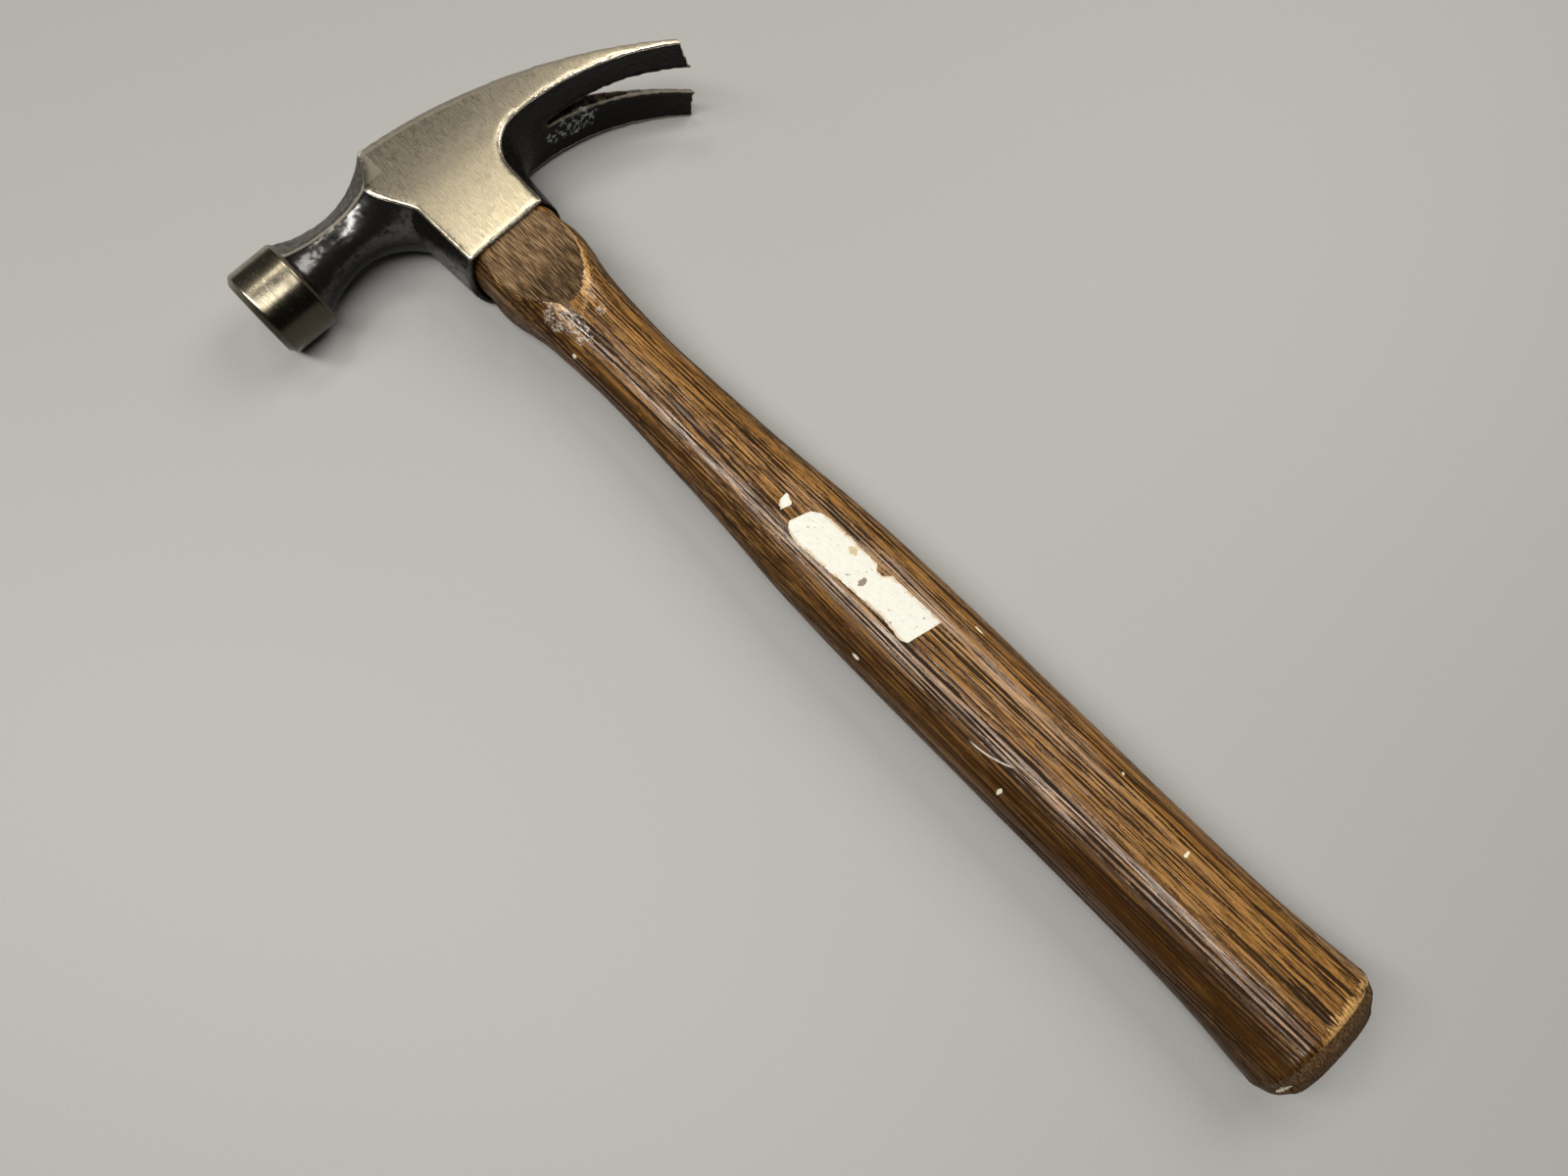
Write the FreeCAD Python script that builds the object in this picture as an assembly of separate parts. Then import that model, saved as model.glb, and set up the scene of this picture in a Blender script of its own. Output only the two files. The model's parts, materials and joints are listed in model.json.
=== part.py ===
"""Claw hammer: one forged steel head, wedged on an oval wooden handle, lying on its side.

While it is modelled, X runs along the head from the striking face to the claws, Y runs up the
handle to the top of the head, Z is the thickness, and the origin is where the handle's axis
crosses the bell's axis. The finished pieces are then moved so that the origin is the middle of
the underside of the box that holds them all.
"""
import FreeCAD
import Part
import math
import os

Vector = FreeCAD.Vector

# ---- Head: the bell, which is the round striking end
FACE_REACH = 65.6           # from the handle's axis to the striking face
BELL_RADIUS = 13.4
BELL_BACK_REACH = 50.2      # from the handle's axis to the bell's back edge
FACE_CHAMFER = 1.8          # along the axis, and inwards
SHOULDER = 0.8              # the chamfer behind the bell

# ---- Head: the neck, a waisted bar with a round belly and a faceted top
WAIST_REACH = 34.0          # from the handle's axis to the thinnest place
WAIST_RADIUS = 8.9          # of the round belly
WAIST_AXIS_Y = 2.0          # height of the belly's centre at the waist
NECK_BELL_AXIS_Y = 1.0      # the same at the bell
NECK_BROW_AXIS_Y = 0.1      # the same at the brow, where the neck runs into the cheeks
BROW_BELLY_RADIUS = 18.26   # of the round belly at the brow
WAIST_TOP_HALF = 3.4        # half the top facet's width at the waist
WAIST_TOP_Y = 9.1           # height of the top facet at the waist
NECK_BELL_TOP_HALF = 5.8    # half the top facet's width at the bell
BROW_REACH = 14.6           # from the handle's axis to the brow
NECK_OVERLAP = 1.0          # how far the neck runs on inside the cheeks
NECK_STEPS = 12             # stretches between the neck's outlines

# ---- Head: cheeks, collar and eye
CHEEK_HALF = 13.3           # half the distance between the two flat cheeks
CROWN_RADIUS = 139.5        # the long arc along the top of the head
CROWN_PEAK_X = -24.4
CROWN_PEAK_Y = 11.45
COLLAR_FRONT = 13.9         # from the handle's axis to the cheek's front edge
COLLAR_BACK = 12.6          # to the cheek's back edge, at the claws' root
COLLAR_TAPER = 0.5          # how much nearer both edges are at the collar's end
COLLAR_BULGE = 4.6          # how far the collar swells past the cheeks' edges, by the neck
COLLAR_END_BULGE = 3.9      # the same at the collar's end
COLLAR_END_Y = -36.6
EYE_BACK_WALL = 1.0         # the collar's wall at its end, behind the wood
EYE_SIDE_WALL = 1.6         # the same under the cheeks

# ---- Head: claws
CLAW_REACH = 73.4           # from the handle's axis to the inner corners of the tips
TIP_SLANT = 1.5             # how far the outer corners fall short of the inner ones
TIP_THICKNESS = 1.3
TIP_HALF = 16.6             # half the width over both tips
FLARE_START_X = 8.0         # where the claws begin to spread past the cheeks
ROOT_RADIUS = 12.0          # the hollow under the claws' root
ROOT_TOP_Y = -11.0
SLOT_TIP_HALF = 5.3         # half the nail slot's width at the tips
SLOT_END_X = 33.0           # the nail slot's closed end
SLOT_END_RADIUS = 1.0

# ---- Handle. The wood fills the collar's end, and is trimmed flat on both sides there
WOOD_END_Y = -330.6
WOOD_TOP_HALF = min(COLLAR_FRONT, COLLAR_BACK) - COLLAR_TAPER + COLLAR_END_BULGE - EYE_BACK_WALL
FLAT_HALF = CHEEK_HALF - EYE_SIDE_WALL
FLAT_LENGTH = 36.0          # below the collar; the trimming has run out well before this
EYE_FIT = 0.05              # gap between the tenon and the eye
EYE_NARROWING_X = 2.8       # how much less the tenon's half width is in the middle of the eye
EYE_NARROWING_Z = 3.1       # the same for its half thickness
EYE_TOP_FLARE = 0.7         # how much the wedged end spreads again, each way
EYE_SQUARENESS = 2.6
EYE_MIDDLE_Y = -14.0
TENON_OVER = 2.0            # the tenon is modelled this far past the crown, then dressed off
SECTION_POINTS = 28         # points on each outline of the wood
BUTT_EDGE = 7.2             # from the end of the wood up to the edge of its chamfer
BUTT_BREAK = 3.2            # from the end of the wood up to where the chamfer steepens

# Each station of the shoulder: distance below the collar, half width, half thickness, squareness
SHOULDER_STATIONS = (
    (36.4, 12.4, 10.2, 2.1),
    (26.4, 13.0, 11.6, 2.2),
    (20.4, 13.8, 13.9, 2.3),
    (14.4, WOOD_TOP_HALF, 15.6, 2.4),
    (6.4, WOOD_TOP_HALF, 16.0, 2.4),
    (0.0, WOOD_TOP_HALF, 16.0, 2.4),
)
# Each station of the grip: share of the way from the butt's edge to the shoulder, then the same
GRIP_STATIONS = (
    (0.000, 18.9, 13.4, 2.5),
    (0.030, 18.3, 13.2, 2.4),
    (0.078, 17.3, 12.9, 2.4),
    (0.174, 16.6, 12.5, 2.3),
    (0.314, 16.6, 12.4, 2.3),
    (0.461, 16.6, 12.4, 2.3),
    (0.565, 16.4, 12.2, 2.3),
    (0.665, 15.6, 11.7, 2.2),
    (0.775, 13.6, 10.7, 2.1),
    (0.863, 12.6, 9.9, 2.1),
    (0.940, 11.9, 9.5, 2.1),
)
BUTT_BREAK_SECTION = (17.5, 11.2, 2.4)
BUTT_END_SECTION = (13.9, 7.3, 2.3)

# ---- Wedges, driven down into the end of the wood
WOOD_WEDGE_TOP_HALF = 1.9   # half its thickness at the top of the head
WOOD_WEDGE_TIP_HALF = 0.5
WOOD_WEDGE_DEPTH = 24.0
STEEL_WEDGE_TOP = 2.4       # thickness at the top of the head
STEEL_WEDGE_TIP = 0.5
STEEL_WEDGE_DEPTH = 14.0
STEEL_WEDGE_WIDTH = 12.0
STEEL_WEDGE_X = 6.2         # each steel wedge's distance from the handle's axis
WEDGE_FIT = 0.02            # gap around each wedge
WEDGE_OVER = 1.0            # each wedge's blank stands this far past the crown's peak

# ---- What is left of a paper label on the upper side of the grip
LABEL_THICKNESS = 0.18
LABEL_OUTLINE = (
    (-4.9, -151.0), (-3.1, -149.6), (4.3, -153.6), (5.5, -156.5), (5.3, -173.0), (4.1, -176.8),
    (5.7, -178.6), (6.0, -195.5), (-4.1, -193.3), (-4.9, -191.6), (-3.9, -178.0), (-5.7, -156.0),
)
SCRAP_OUTLINE = ((-2.4, -147.0), (-0.8, -143.6), (2.0, -144.0), (1.0, -146.4))

CUT = 60.0                  # tools reach this far past what they cut
SIDE_SPARE = 1.5            # the blank of the cheeks and claws is this much wider on each side


def arc(start, middle, end):
    """The edge of the circular arc through three points."""
    return Part.Arc(start, middle, end).toShape()


def line(start, end):
    """A straight edge."""
    return Part.makeLine(start, end)


def polygon(points):
    """The flat face inside a closed run of straight edges."""
    return Part.Face(Part.makePolygon(list(points) + [points[0]]))


def tangent_arc(start, direction, end):
    """The arc that leaves start along direction and arrives at end, in a plane of constant Z."""
    chord = end - start
    normal = Vector(-direction.y, direction.x, 0).normalize()
    radius = chord.dot(chord) / (2 * chord.dot(normal))
    centre = start + normal * radius
    out = (start + end) * 0.5 - centre
    return arc(start, centre + out.normalize() * abs(radius), end)


def hourglass(x, waist, end_x, end):
    """Height at x of the arc that is level at the waist and passes through (end_x, end)."""
    run = end_x + WAIST_REACH
    rise = end - waist
    radius = (run * run + rise * rise) / (2 * rise)
    step = x + WAIST_REACH
    return waist + radius - math.copysign(math.sqrt(radius * radius - step * step), radius)


def crown_y(x):
    """Height of the crown, the top of the head, at x."""
    step = x - CROWN_PEAK_X
    return CROWN_PEAK_Y - CROWN_RADIUS + math.sqrt(CROWN_RADIUS ** 2 - step ** 2)


# ---- The head

def bell():
    """The round striking end, turned about the X axis, with its face and both chamfers."""
    back = -BELL_BACK_REACH
    points = [
        Vector(-FACE_REACH, 0, 0),
        Vector(-FACE_REACH, BELL_RADIUS - FACE_CHAMFER, 0),
        Vector(-FACE_REACH + FACE_CHAMFER, BELL_RADIUS, 0),
        Vector(back, BELL_RADIUS, 0),
        Vector(back + SHOULDER, BELL_RADIUS - SHOULDER, 0),
        Vector(back + SHOULDER, 0, 0),
    ]
    return polygon(points).revolve(Vector(0, 0, 0), Vector(1, 0, 0), 360)


def neck_section(x):
    """Outline of the neck at x: a half round belly under a flat top with a facet on each side."""
    bell_x = -BELL_BACK_REACH
    if x < -WAIST_REACH:
        radius = hourglass(x, WAIST_RADIUS, bell_x, BELL_RADIUS - SHOULDER)
        axis_y = hourglass(x, WAIST_AXIS_Y, bell_x, NECK_BELL_AXIS_Y)
        top_half = hourglass(x, WAIST_TOP_HALF, bell_x, NECK_BELL_TOP_HALF)
        bell_top = math.sqrt(BELL_RADIUS ** 2 - NECK_BELL_TOP_HALF ** 2)
        top_y = hourglass(x, WAIST_TOP_Y, bell_x, bell_top)
    else:
        radius = hourglass(x, WAIST_RADIUS, -BROW_REACH, BROW_BELLY_RADIUS)
        axis_y = hourglass(x, WAIST_AXIS_Y, -BROW_REACH, NECK_BROW_AXIS_Y)
        top_half = hourglass(x, WAIST_TOP_HALF, -BROW_REACH, CHEEK_HALF)
        top_y = hourglass(x, WAIST_TOP_Y, -BROW_REACH, crown_y(-BROW_REACH))
    front_arris = Vector(x, axis_y, radius)
    front_top = Vector(x, top_y, top_half)
    rear_top = Vector(x, top_y, -top_half)
    rear_arris = Vector(x, axis_y, -radius)
    belly = arc(rear_arris, Vector(x, axis_y - radius, 0), front_arris)
    facets = [line(front_arris, front_top), line(front_top, rear_top), line(rear_top, rear_arris)]
    return Part.Wire([belly] + facets)


def neck():
    """The waisted bar between the bell and the cheeks. It runs on a little inside both."""
    start = -BELL_BACK_REACH - SHOULDER
    run = NECK_OVERLAP - BROW_REACH - start
    stations = [start + run * i / NECK_STEPS for i in range(NECK_STEPS + 1)]
    return Part.makeLoft([neck_section(x) for x in stations], True, False)


def side_profile(z):
    """Outline of the cheek, collar and claws at the height z: the collar swells where z is 0."""
    fullness = 1 - (z / CHEEK_HALF) ** 2
    front_x = -COLLAR_FRONT - COLLAR_BULGE * fullness
    back_x = COLLAR_BACK + COLLAR_BULGE * fullness
    end_front_x = -COLLAR_FRONT + COLLAR_TAPER - COLLAR_END_BULGE * fullness
    end_back_x = COLLAR_BACK - COLLAR_TAPER + COLLAR_END_BULGE * fullness
    tip_x = CLAW_REACH + TIP_SLANT
    brow = Vector(-BROW_REACH, crown_y(-BROW_REACH), z)
    crown_middle = Vector(tip_x / 2, crown_y(tip_x / 2), z)
    tip_top = Vector(tip_x, crown_y(tip_x), z)
    crown_centre = Vector(CROWN_PEAK_X, CROWN_PEAK_Y - CROWN_RADIUS, z)
    tip_under = tip_top + (crown_centre - tip_top).normalize() * TIP_THICKNESS
    root_top = Vector(back_x + ROOT_RADIUS, ROOT_TOP_Y, z)
    root_centre = root_top - Vector(0, ROOT_RADIUS, 0)
    diagonal = ROOT_RADIUS * math.sqrt(0.5)
    root_middle = root_centre + Vector(-diagonal, diagonal, 0)
    root_low = root_centre - Vector(ROOT_RADIUS, 0, 0)
    collar_back = Vector(end_back_x, COLLAR_END_Y, z)
    collar_front = Vector(end_front_x, COLLAR_END_Y, z)
    shoulder = Vector(front_x, WAIST_AXIS_Y, z)
    return Part.Wire([
        line(shoulder, brow),
        arc(brow, crown_middle, tip_top),
        line(tip_top, tip_under),
        tangent_arc(root_top, Vector(1, 0, 0), tip_under),
        arc(root_top, root_middle, root_low),
        line(root_low, collar_back),
        line(collar_back, collar_front),
        line(collar_front, shoulder),
    ])


def cheeks_and_claws():
    """Cheeks, collar and claws before the slot, the eye and the trim to width."""
    reach = TIP_HALF + SIDE_SPARE
    heights = [reach * k / 2 for k in (-2, -1, 0, 1, 2)]
    return Part.makeLoft([side_profile(z) for z in heights], True, False)


def width_trim():
    """What the head keeps, seen along the handle: parallel cheeks, then claws that spread."""
    flare_start = Vector(FLARE_START_X, -CUT, CHEEK_HALF)
    tip_outer = Vector(CLAW_REACH - TIP_SLANT, -CUT, TIP_HALF)
    run = tip_outer.x - flare_start.x
    rise = TIP_HALF - CHEEK_HALF
    flare_middle = flare_start + Vector(run / 2, 0, rise / 4)
    slope = TIP_SLANT / (TIP_HALF - SLOT_TIP_HALF)
    nose = Vector(CLAW_REACH + slope * SLOT_TIP_HALF, -CUT, 0)
    back = Vector(-BELL_BACK_REACH - SHOULDER, -CUT, CHEEK_HALF)

    def mirrored(point):
        return Vector(point.x, point.y, -point.z)

    outline = Part.Wire([
        line(mirrored(back), back),
        line(back, flare_start),
        arc(flare_start, flare_middle, tip_outer),
        line(tip_outer, nose),
        line(nose, mirrored(tip_outer)),
        arc(mirrored(tip_outer), mirrored(flare_middle), mirrored(flare_start)),
        line(mirrored(flare_start), mirrored(back)),
    ])
    return Part.Face(outline).extrude(Vector(0, 2 * CUT, 0))


def nail_slot():
    """The tapered slot between the claws, with its round closed end."""
    run = CLAW_REACH - SLOT_END_X
    slope = (SLOT_TIP_HALF - SLOT_END_RADIUS) / run
    far = CLAW_REACH + CUT
    far_half = SLOT_TIP_HALF + slope * CUT
    centre_x = SLOT_END_X + SLOT_END_RADIUS
    near_right = Vector(centre_x, -CUT, SLOT_END_RADIUS)
    near_left = Vector(centre_x, -CUT, -SLOT_END_RADIUS)
    far_right = Vector(far, -CUT, far_half)
    far_left = Vector(far, -CUT, -far_half)
    outline = Part.Wire([
        arc(near_left, Vector(SLOT_END_X, -CUT, 0), near_right),
        line(near_right, far_right),
        line(far_right, far_left),
        line(far_left, near_left),
    ])
    return Part.Face(outline).extrude(Vector(0, 2 * CUT, 0))


def head():
    """The whole forging, with the eye that the handle fills."""
    forging = cheeks_and_claws().fuse(neck()).common(width_trim())
    forging = forging.fuse(bell())
    return forging.cut(nail_slot()).cut(tenon(EYE_FIT)).removeSplitter()


# ---- The handle

def wood_outline(height, half_width, half_thickness, squareness):
    """A closed superellipse at one height: an oval whose sides grow flatter with squareness."""
    points = []
    for i in range(SECTION_POINTS):
        turn = 2 * math.pi * (i + 0.5) / SECTION_POINTS
        cosine = math.cos(turn)
        sine = math.sin(turn)
        x = math.copysign(abs(cosine) ** (2 / squareness), cosine) * half_width
        z = math.copysign(abs(sine) ** (2 / squareness), sine) * half_thickness
        points.append(Vector(x, height, z))
    curve = Part.BSplineCurve()
    curve.interpolate(Points=points, PeriodicFlag=True)
    return Part.Wire(curve.toShape())


def wood_loft(stations, extra, ruled):
    """Wood through the stations, with extra added to each half width and half thickness."""
    outlines = [wood_outline(y, a + extra, c + extra, n) for y, a, c, n in stations]
    return Part.makeLoft(outlines, True, ruled)


def grip_stations():
    """Stations of the wood from the butt's edge to the collar: height and section."""
    edge_y = WOOD_END_Y + BUTT_EDGE
    shoulder_y = COLLAR_END_Y - SHOULDER_STATIONS[0][0]
    lower = [(edge_y + share * (shoulder_y - edge_y), a, c, n) for share, a, c, n in GRIP_STATIONS]
    upper = [(COLLAR_END_Y - below, a, c, n) for below, a, c, n in SHOULDER_STATIONS]
    return lower + upper


def butt_stations():
    """Stations of the chamfered end of the wood."""
    return [
        (WOOD_END_Y + BUTT_EDGE,) + GRIP_STATIONS[0][1:],
        (WOOD_END_Y + BUTT_BREAK,) + BUTT_BREAK_SECTION,
        (WOOD_END_Y,) + BUTT_END_SECTION,
    ]


def tenon_stations():
    """Stations of the wood inside the head: it narrows to the middle of the eye and spreads again."""
    middle_a = WOOD_TOP_HALF - EYE_NARROWING_X
    middle_c = FLAT_HALF - EYE_NARROWING_Z
    top_y = CROWN_PEAK_Y + TENON_OVER
    return [
        (COLLAR_END_Y,) + SHOULDER_STATIONS[-1][1:],
        (EYE_MIDDLE_Y, middle_a, middle_c, EYE_SQUARENESS),
        (0.0, middle_a, middle_c, EYE_SQUARENESS),
        (top_y, middle_a + EYE_TOP_FLARE, middle_c + EYE_TOP_FLARE, EYE_SQUARENESS),
    ]


def flat_trim(extra):
    """The slab that the two flats leave of the wood by the collar and in the eye."""
    half = FLAT_HALF + extra
    low_y = COLLAR_END_Y - FLAT_LENGTH
    return Part.makeBox(2 * CUT, CUT - low_y, 2 * half, Vector(-CUT, low_y, -half))


def tenon(extra):
    """The end of the wood that stands in the eye, or the eye itself when extra is the fit."""
    return wood_loft(tenon_stations(), extra, False).common(flat_trim(extra))


def below_crown():
    """Everything under the crown: the wood and the wedges are dressed flush with it."""
    left = Vector(-CUT, crown_y(-CUT), -CUT)
    right = Vector(CUT, crown_y(CUT), -CUT)
    top = arc(left, Vector(0, crown_y(0), -CUT), right)
    low_right = Vector(CUT, 2 * WOOD_END_Y, -CUT)
    low_left = Vector(-CUT, 2 * WOOD_END_Y, -CUT)
    sides = [line(right, low_right), line(low_right, low_left), line(low_left, left)]
    return Part.Face(Part.Wire([top] + sides)).extrude(Vector(0, 0, 2 * CUT))


def grip():
    """The handle outside the head, from the chamfered butt to the collar."""
    body = wood_loft(grip_stations(), 0, False).fuse(wood_loft(butt_stations(), 0, True))
    low = Vector(-CUT, 2 * WOOD_END_Y, -CUT)
    untrimmed = Part.makeBox(2 * CUT, COLLAR_END_Y - FLAT_LENGTH - low.y, 2 * CUT, low)
    return body.common(flat_trim(0).fuse(untrimmed))


def wedge_prism(top, tip, depth, width, along_x):
    """A wedge standing point down: its faces lean over depth, and it runs past the crown."""
    top_y = crown_y(0)
    lean = (top - tip) / depth
    over = CROWN_PEAK_Y - top_y + WEDGE_OVER
    outline = [
        Vector(tip, top_y - depth, 0),
        Vector(top + lean * over, top_y + over, 0),
        Vector(-top - lean * over, top_y + over, 0),
        Vector(-tip, top_y - depth, 0),
    ]
    prism = polygon(outline).extrude(Vector(0, 0, width))
    prism.translate(Vector(0, 0, -width / 2))
    if along_x:
        prism.rotate(Vector(0, 0, 0), Vector(0, 1, 0), 90)
    return prism


def wooden_wedge_body(extra):
    """The wooden wedge before the steel ones are driven, or its kerf when extra is the fit."""
    blank = wedge_prism(
        WOOD_WEDGE_TOP_HALF + extra, WOOD_WEDGE_TIP_HALF + extra, WOOD_WEDGE_DEPTH, 2 * CUT, True
    )
    return blank.common(tenon(0)).common(below_crown())


def steel_wedge(side, extra):
    """One steel wedge across the wooden one, on the side of the axis that side gives."""
    blank = wedge_prism(
        STEEL_WEDGE_TOP / 2 + extra, STEEL_WEDGE_TIP / 2 + extra,
        STEEL_WEDGE_DEPTH, STEEL_WEDGE_WIDTH + 2 * extra, False
    )
    blank.translate(Vector(side * STEEL_WEDGE_X, 0, 0))
    return blank.common(below_crown())


def handle():
    """Grip and tenon in one, with the kerf and the cuts that the wedges fill."""
    wood = grip().fuse(tenon(0).common(below_crown())).removeSplitter()
    wood = wood.cut(wooden_wedge_body(WEDGE_FIT))
    return wood.cut(steel_wedge(-1, WEDGE_FIT)).cut(steel_wedge(1, WEDGE_FIT))


def wooden_wedge():
    """The wooden wedge, split by the two steel ones."""
    wedge = wooden_wedge_body(0)
    return wedge.cut(steel_wedge(-1, WEDGE_FIT)).cut(steel_wedge(1, WEDGE_FIT))


# ---- The label

def paper(outline):
    """A thin skin on the upper side of the grip, inside an outline of X and Y."""
    stations = grip_stations()
    skin = wood_loft(stations, LABEL_THICKNESS, False).cut(wood_loft(stations, 0, False))
    corners = [Vector(x, y, 0) for x, y in outline]
    return skin.common(polygon(corners).extrude(Vector(0, 0, CUT)))


def build():
    """Every piece by name, in the modelling frame."""
    return {
        "head": head(),
        "handle": handle(),
        "wooden_wedge": wooden_wedge(),
        "steel_wedge_front": steel_wedge(-1, 0),
        "steel_wedge_rear": steel_wedge(1, 0),
        "label": paper(LABEL_OUTLINE),
        "label_scrap": paper(SCRAP_OUTLINE),
    }


def main():
    """Moves the pieces so that the origin is the middle of their box's underside, and saves them."""
    pieces = build()
    box = Part.makeCompound(list(pieces.values())).optimalBoundingBox(False, False)
    middle = box.Center
    os.makedirs("parts", exist_ok=True)
    for name, shape in pieces.items():
        shape.translate(Vector(-middle.x, -middle.y, -box.ZMin))
        shape.exportStep("parts/" + name + ".step")
        print(name, len(shape.Solids), shape.isValid(), round(shape.Volume, 1))
    print("moved by", [round(-v, 4) for v in (middle.x, middle.y, box.ZMin)])
    print("box", round(box.XLength, 2), round(box.YLength, 2), round(box.ZLength, 2))


main()
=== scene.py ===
"""The finish of a straight-claw hammer: forged head, wedged wooden handle and torn paper label.

Shapes are worked out in bench millimetres: X runs along the head from the striking face to the
claws, Y up the handle to the top of the head, Z is the thickness, and the origin is where the
handle's axis crosses the bell's axis. They are put in their place in the frame when a mesh is made.
"""
import functools
import itertools
import json
import math
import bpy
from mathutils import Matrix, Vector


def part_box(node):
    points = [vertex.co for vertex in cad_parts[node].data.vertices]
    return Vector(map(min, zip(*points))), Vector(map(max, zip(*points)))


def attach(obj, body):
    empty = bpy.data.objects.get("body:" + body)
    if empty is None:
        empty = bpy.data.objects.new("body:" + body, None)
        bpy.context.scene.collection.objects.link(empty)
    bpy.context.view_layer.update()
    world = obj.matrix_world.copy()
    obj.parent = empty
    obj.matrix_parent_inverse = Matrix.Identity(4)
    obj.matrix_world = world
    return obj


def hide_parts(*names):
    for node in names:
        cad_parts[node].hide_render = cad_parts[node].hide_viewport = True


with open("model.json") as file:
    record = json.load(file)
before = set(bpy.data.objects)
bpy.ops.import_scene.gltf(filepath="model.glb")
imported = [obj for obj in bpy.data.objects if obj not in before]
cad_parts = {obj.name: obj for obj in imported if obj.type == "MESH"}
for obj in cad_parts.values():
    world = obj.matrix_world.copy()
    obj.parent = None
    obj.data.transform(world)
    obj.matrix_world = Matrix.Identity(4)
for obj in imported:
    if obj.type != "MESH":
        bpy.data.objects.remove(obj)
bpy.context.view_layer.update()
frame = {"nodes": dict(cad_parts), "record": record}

from types import SimpleNamespace

import bmesh
import bpy
import numpy as np
from mathutils import Matrix, Vector

bl_info = {
    "name": "Claw hammer",
    "version": (1, 0, 0),
    "blender": (4, 5, 0),
    "location": "View3D > Sidebar > Hammer",
    "description": "Builds the worn finish of a claw hammer around its CAD frame",
    "category": "Object",
}

MM = 0.001
HEAD_LOW, HEAD_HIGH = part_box("head")
WOOD_LOW, WOOD_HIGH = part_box("handle")
MOUNTS = {mount["name"]: mount for mount in frame["record"]["mounts"]}

# The bench frame's origin in the row frame: on the handle's axis, the bell's axis and mid thickness
BENCH = Vector((
    (WOOD_LOW.x + WOOD_HIGH.x) / 2,
    MOUNTS["striking_face"]["pos_m"][1],
    (HEAD_LOW.z + HEAD_HIGH.z) / 2,
))
FACE_X = (HEAD_LOW.x - BENCH.x) / MM            # striking face
CLAW_X = (HEAD_HIGH.x - BENCH.x) / MM           # tips of the claws
BUTT_Y = (WOOD_LOW.y - BENCH.y) / MM            # end of the handle
COLLAR_Y = (HEAD_LOW.y - BENCH.y) / MM          # lower end of the head
CHEEK_Z = (MOUNTS["cheek_upper"]["pos_m"][2] - BENCH.z) / MM
CLAW_Z = (HEAD_HIGH.z - BENCH.z) / MM


# ---- Sizes and colours that a user would change

COLOUR = {"size": 3, "min": 0, "max": 1, "subtype": "COLOR"}
LENGTH = {"subtype": "DISTANCE", "unit": "LENGTH"}
PLACE = {"size": 3, "subtype": "XYZ", "unit": "LENGTH"}


class HammerSteel(bpy.types.PropertyGroup):
    """Finish of the forged head."""
    grain: bpy.props.FloatProperty(
        name="Surface grain", description="Size of the facets that the head is made of",
        default=0.00045, min=0.0003, max=0.002, **LENGTH)
    lumps: bpy.props.FloatProperty(
        name="Paint lumps", description="Height of the lumps in the black paint",
        default=0.00009, min=0.0, **LENGTH)
    bare: bpy.props.FloatVectorProperty(
        name="Bare steel", description="Colour of the ground cheeks and the bell",
        default=(0.48, 0.425, 0.315), **COLOUR)
    worn: bpy.props.FloatVectorProperty(
        name="Worn steel", description="Colour of rubbed edges",
        default=(0.62, 0.57, 0.47), **COLOUR)
    dull: bpy.props.FloatVectorProperty(
        name="Dull steel", description="Colour of the neck's upper facets",
        default=(0.13, 0.115, 0.092), **COLOUR)
    paint: bpy.props.FloatVectorProperty(
        name="Paint", description="Colour of the black paint",
        default=(0.0045, 0.0038, 0.0032), **COLOUR)


class HammerWood(bpy.types.PropertyGroup):
    """Finish of the handle and its wooden wedge."""
    groove: bpy.props.FloatProperty(
        name="Groove depth", description="Depth of the open grain",
        default=0.00012, min=0.0, **LENGTH)
    ring: bpy.props.FloatProperty(
        name="Ring width", description="Width of one year's growth",
        default=0.0012, min=0.0005, **LENGTH)
    stain: bpy.props.FloatVectorProperty(
        name="Stain", description="Dark stain in the grooves",
        default=(0.0110, 0.0065, 0.0035), **COLOUR)
    brown: bpy.props.FloatVectorProperty(
        name="Brown", description="Stained wood between the grooves",
        default=(0.074, 0.030, 0.0060), **COLOUR)
    amber: bpy.props.FloatVectorProperty(
        name="Amber", description="Wood where the stain is thin",
        default=(0.310, 0.150, 0.036), **COLOUR)
    pale: bpy.props.FloatVectorProperty(
        name="Pale", description="Bare wood on rubbed edges",
        default=(0.56, 0.33, 0.12), **COLOUR)


class HammerPaper(bpy.types.PropertyGroup):
    """Finish of what is left of the label."""
    sheet: bpy.props.FloatVectorProperty(
        name="Paper", description="Colour of the paper",
        default=(0.66, 0.66, 0.60), **COLOUR)
    stain: bpy.props.FloatVectorProperty(
        name="Glue stain", description="Colour of the glue at the torn edges",
        default=(0.46, 0.29, 0.10), **COLOUR)


class HammerStage(bpy.types.PropertyGroup):
    """Camera, floor and lights."""
    eye: bpy.props.FloatVectorProperty(
        name="Camera", description="Place of the camera",
        default=(-0.06361, -0.05853, 0.31664), **PLACE)
    target: bpy.props.FloatVectorProperty(
        name="Target", description="Point in the middle of the view",
        default=(-0.01814, -0.00065, 0.0166), **PLACE)
    heading: bpy.props.FloatProperty(
        name="Heading", description="Level direction that is up in the view, from +X",
        default=math.radians(46.0), subtype="ANGLE")
    lens: bpy.props.FloatProperty(
        name="Lens", description="Focal length on a 36 mm wide sensor",
        default=27.05, min=1.0, unit="CAMERA")
    floor: bpy.props.FloatVectorProperty(
        name="Floor", description="Colour of the floor",
        default=(0.33, 0.33, 0.325), **COLOUR)


# ---- Numbers over a surface, as whole arrays

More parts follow.
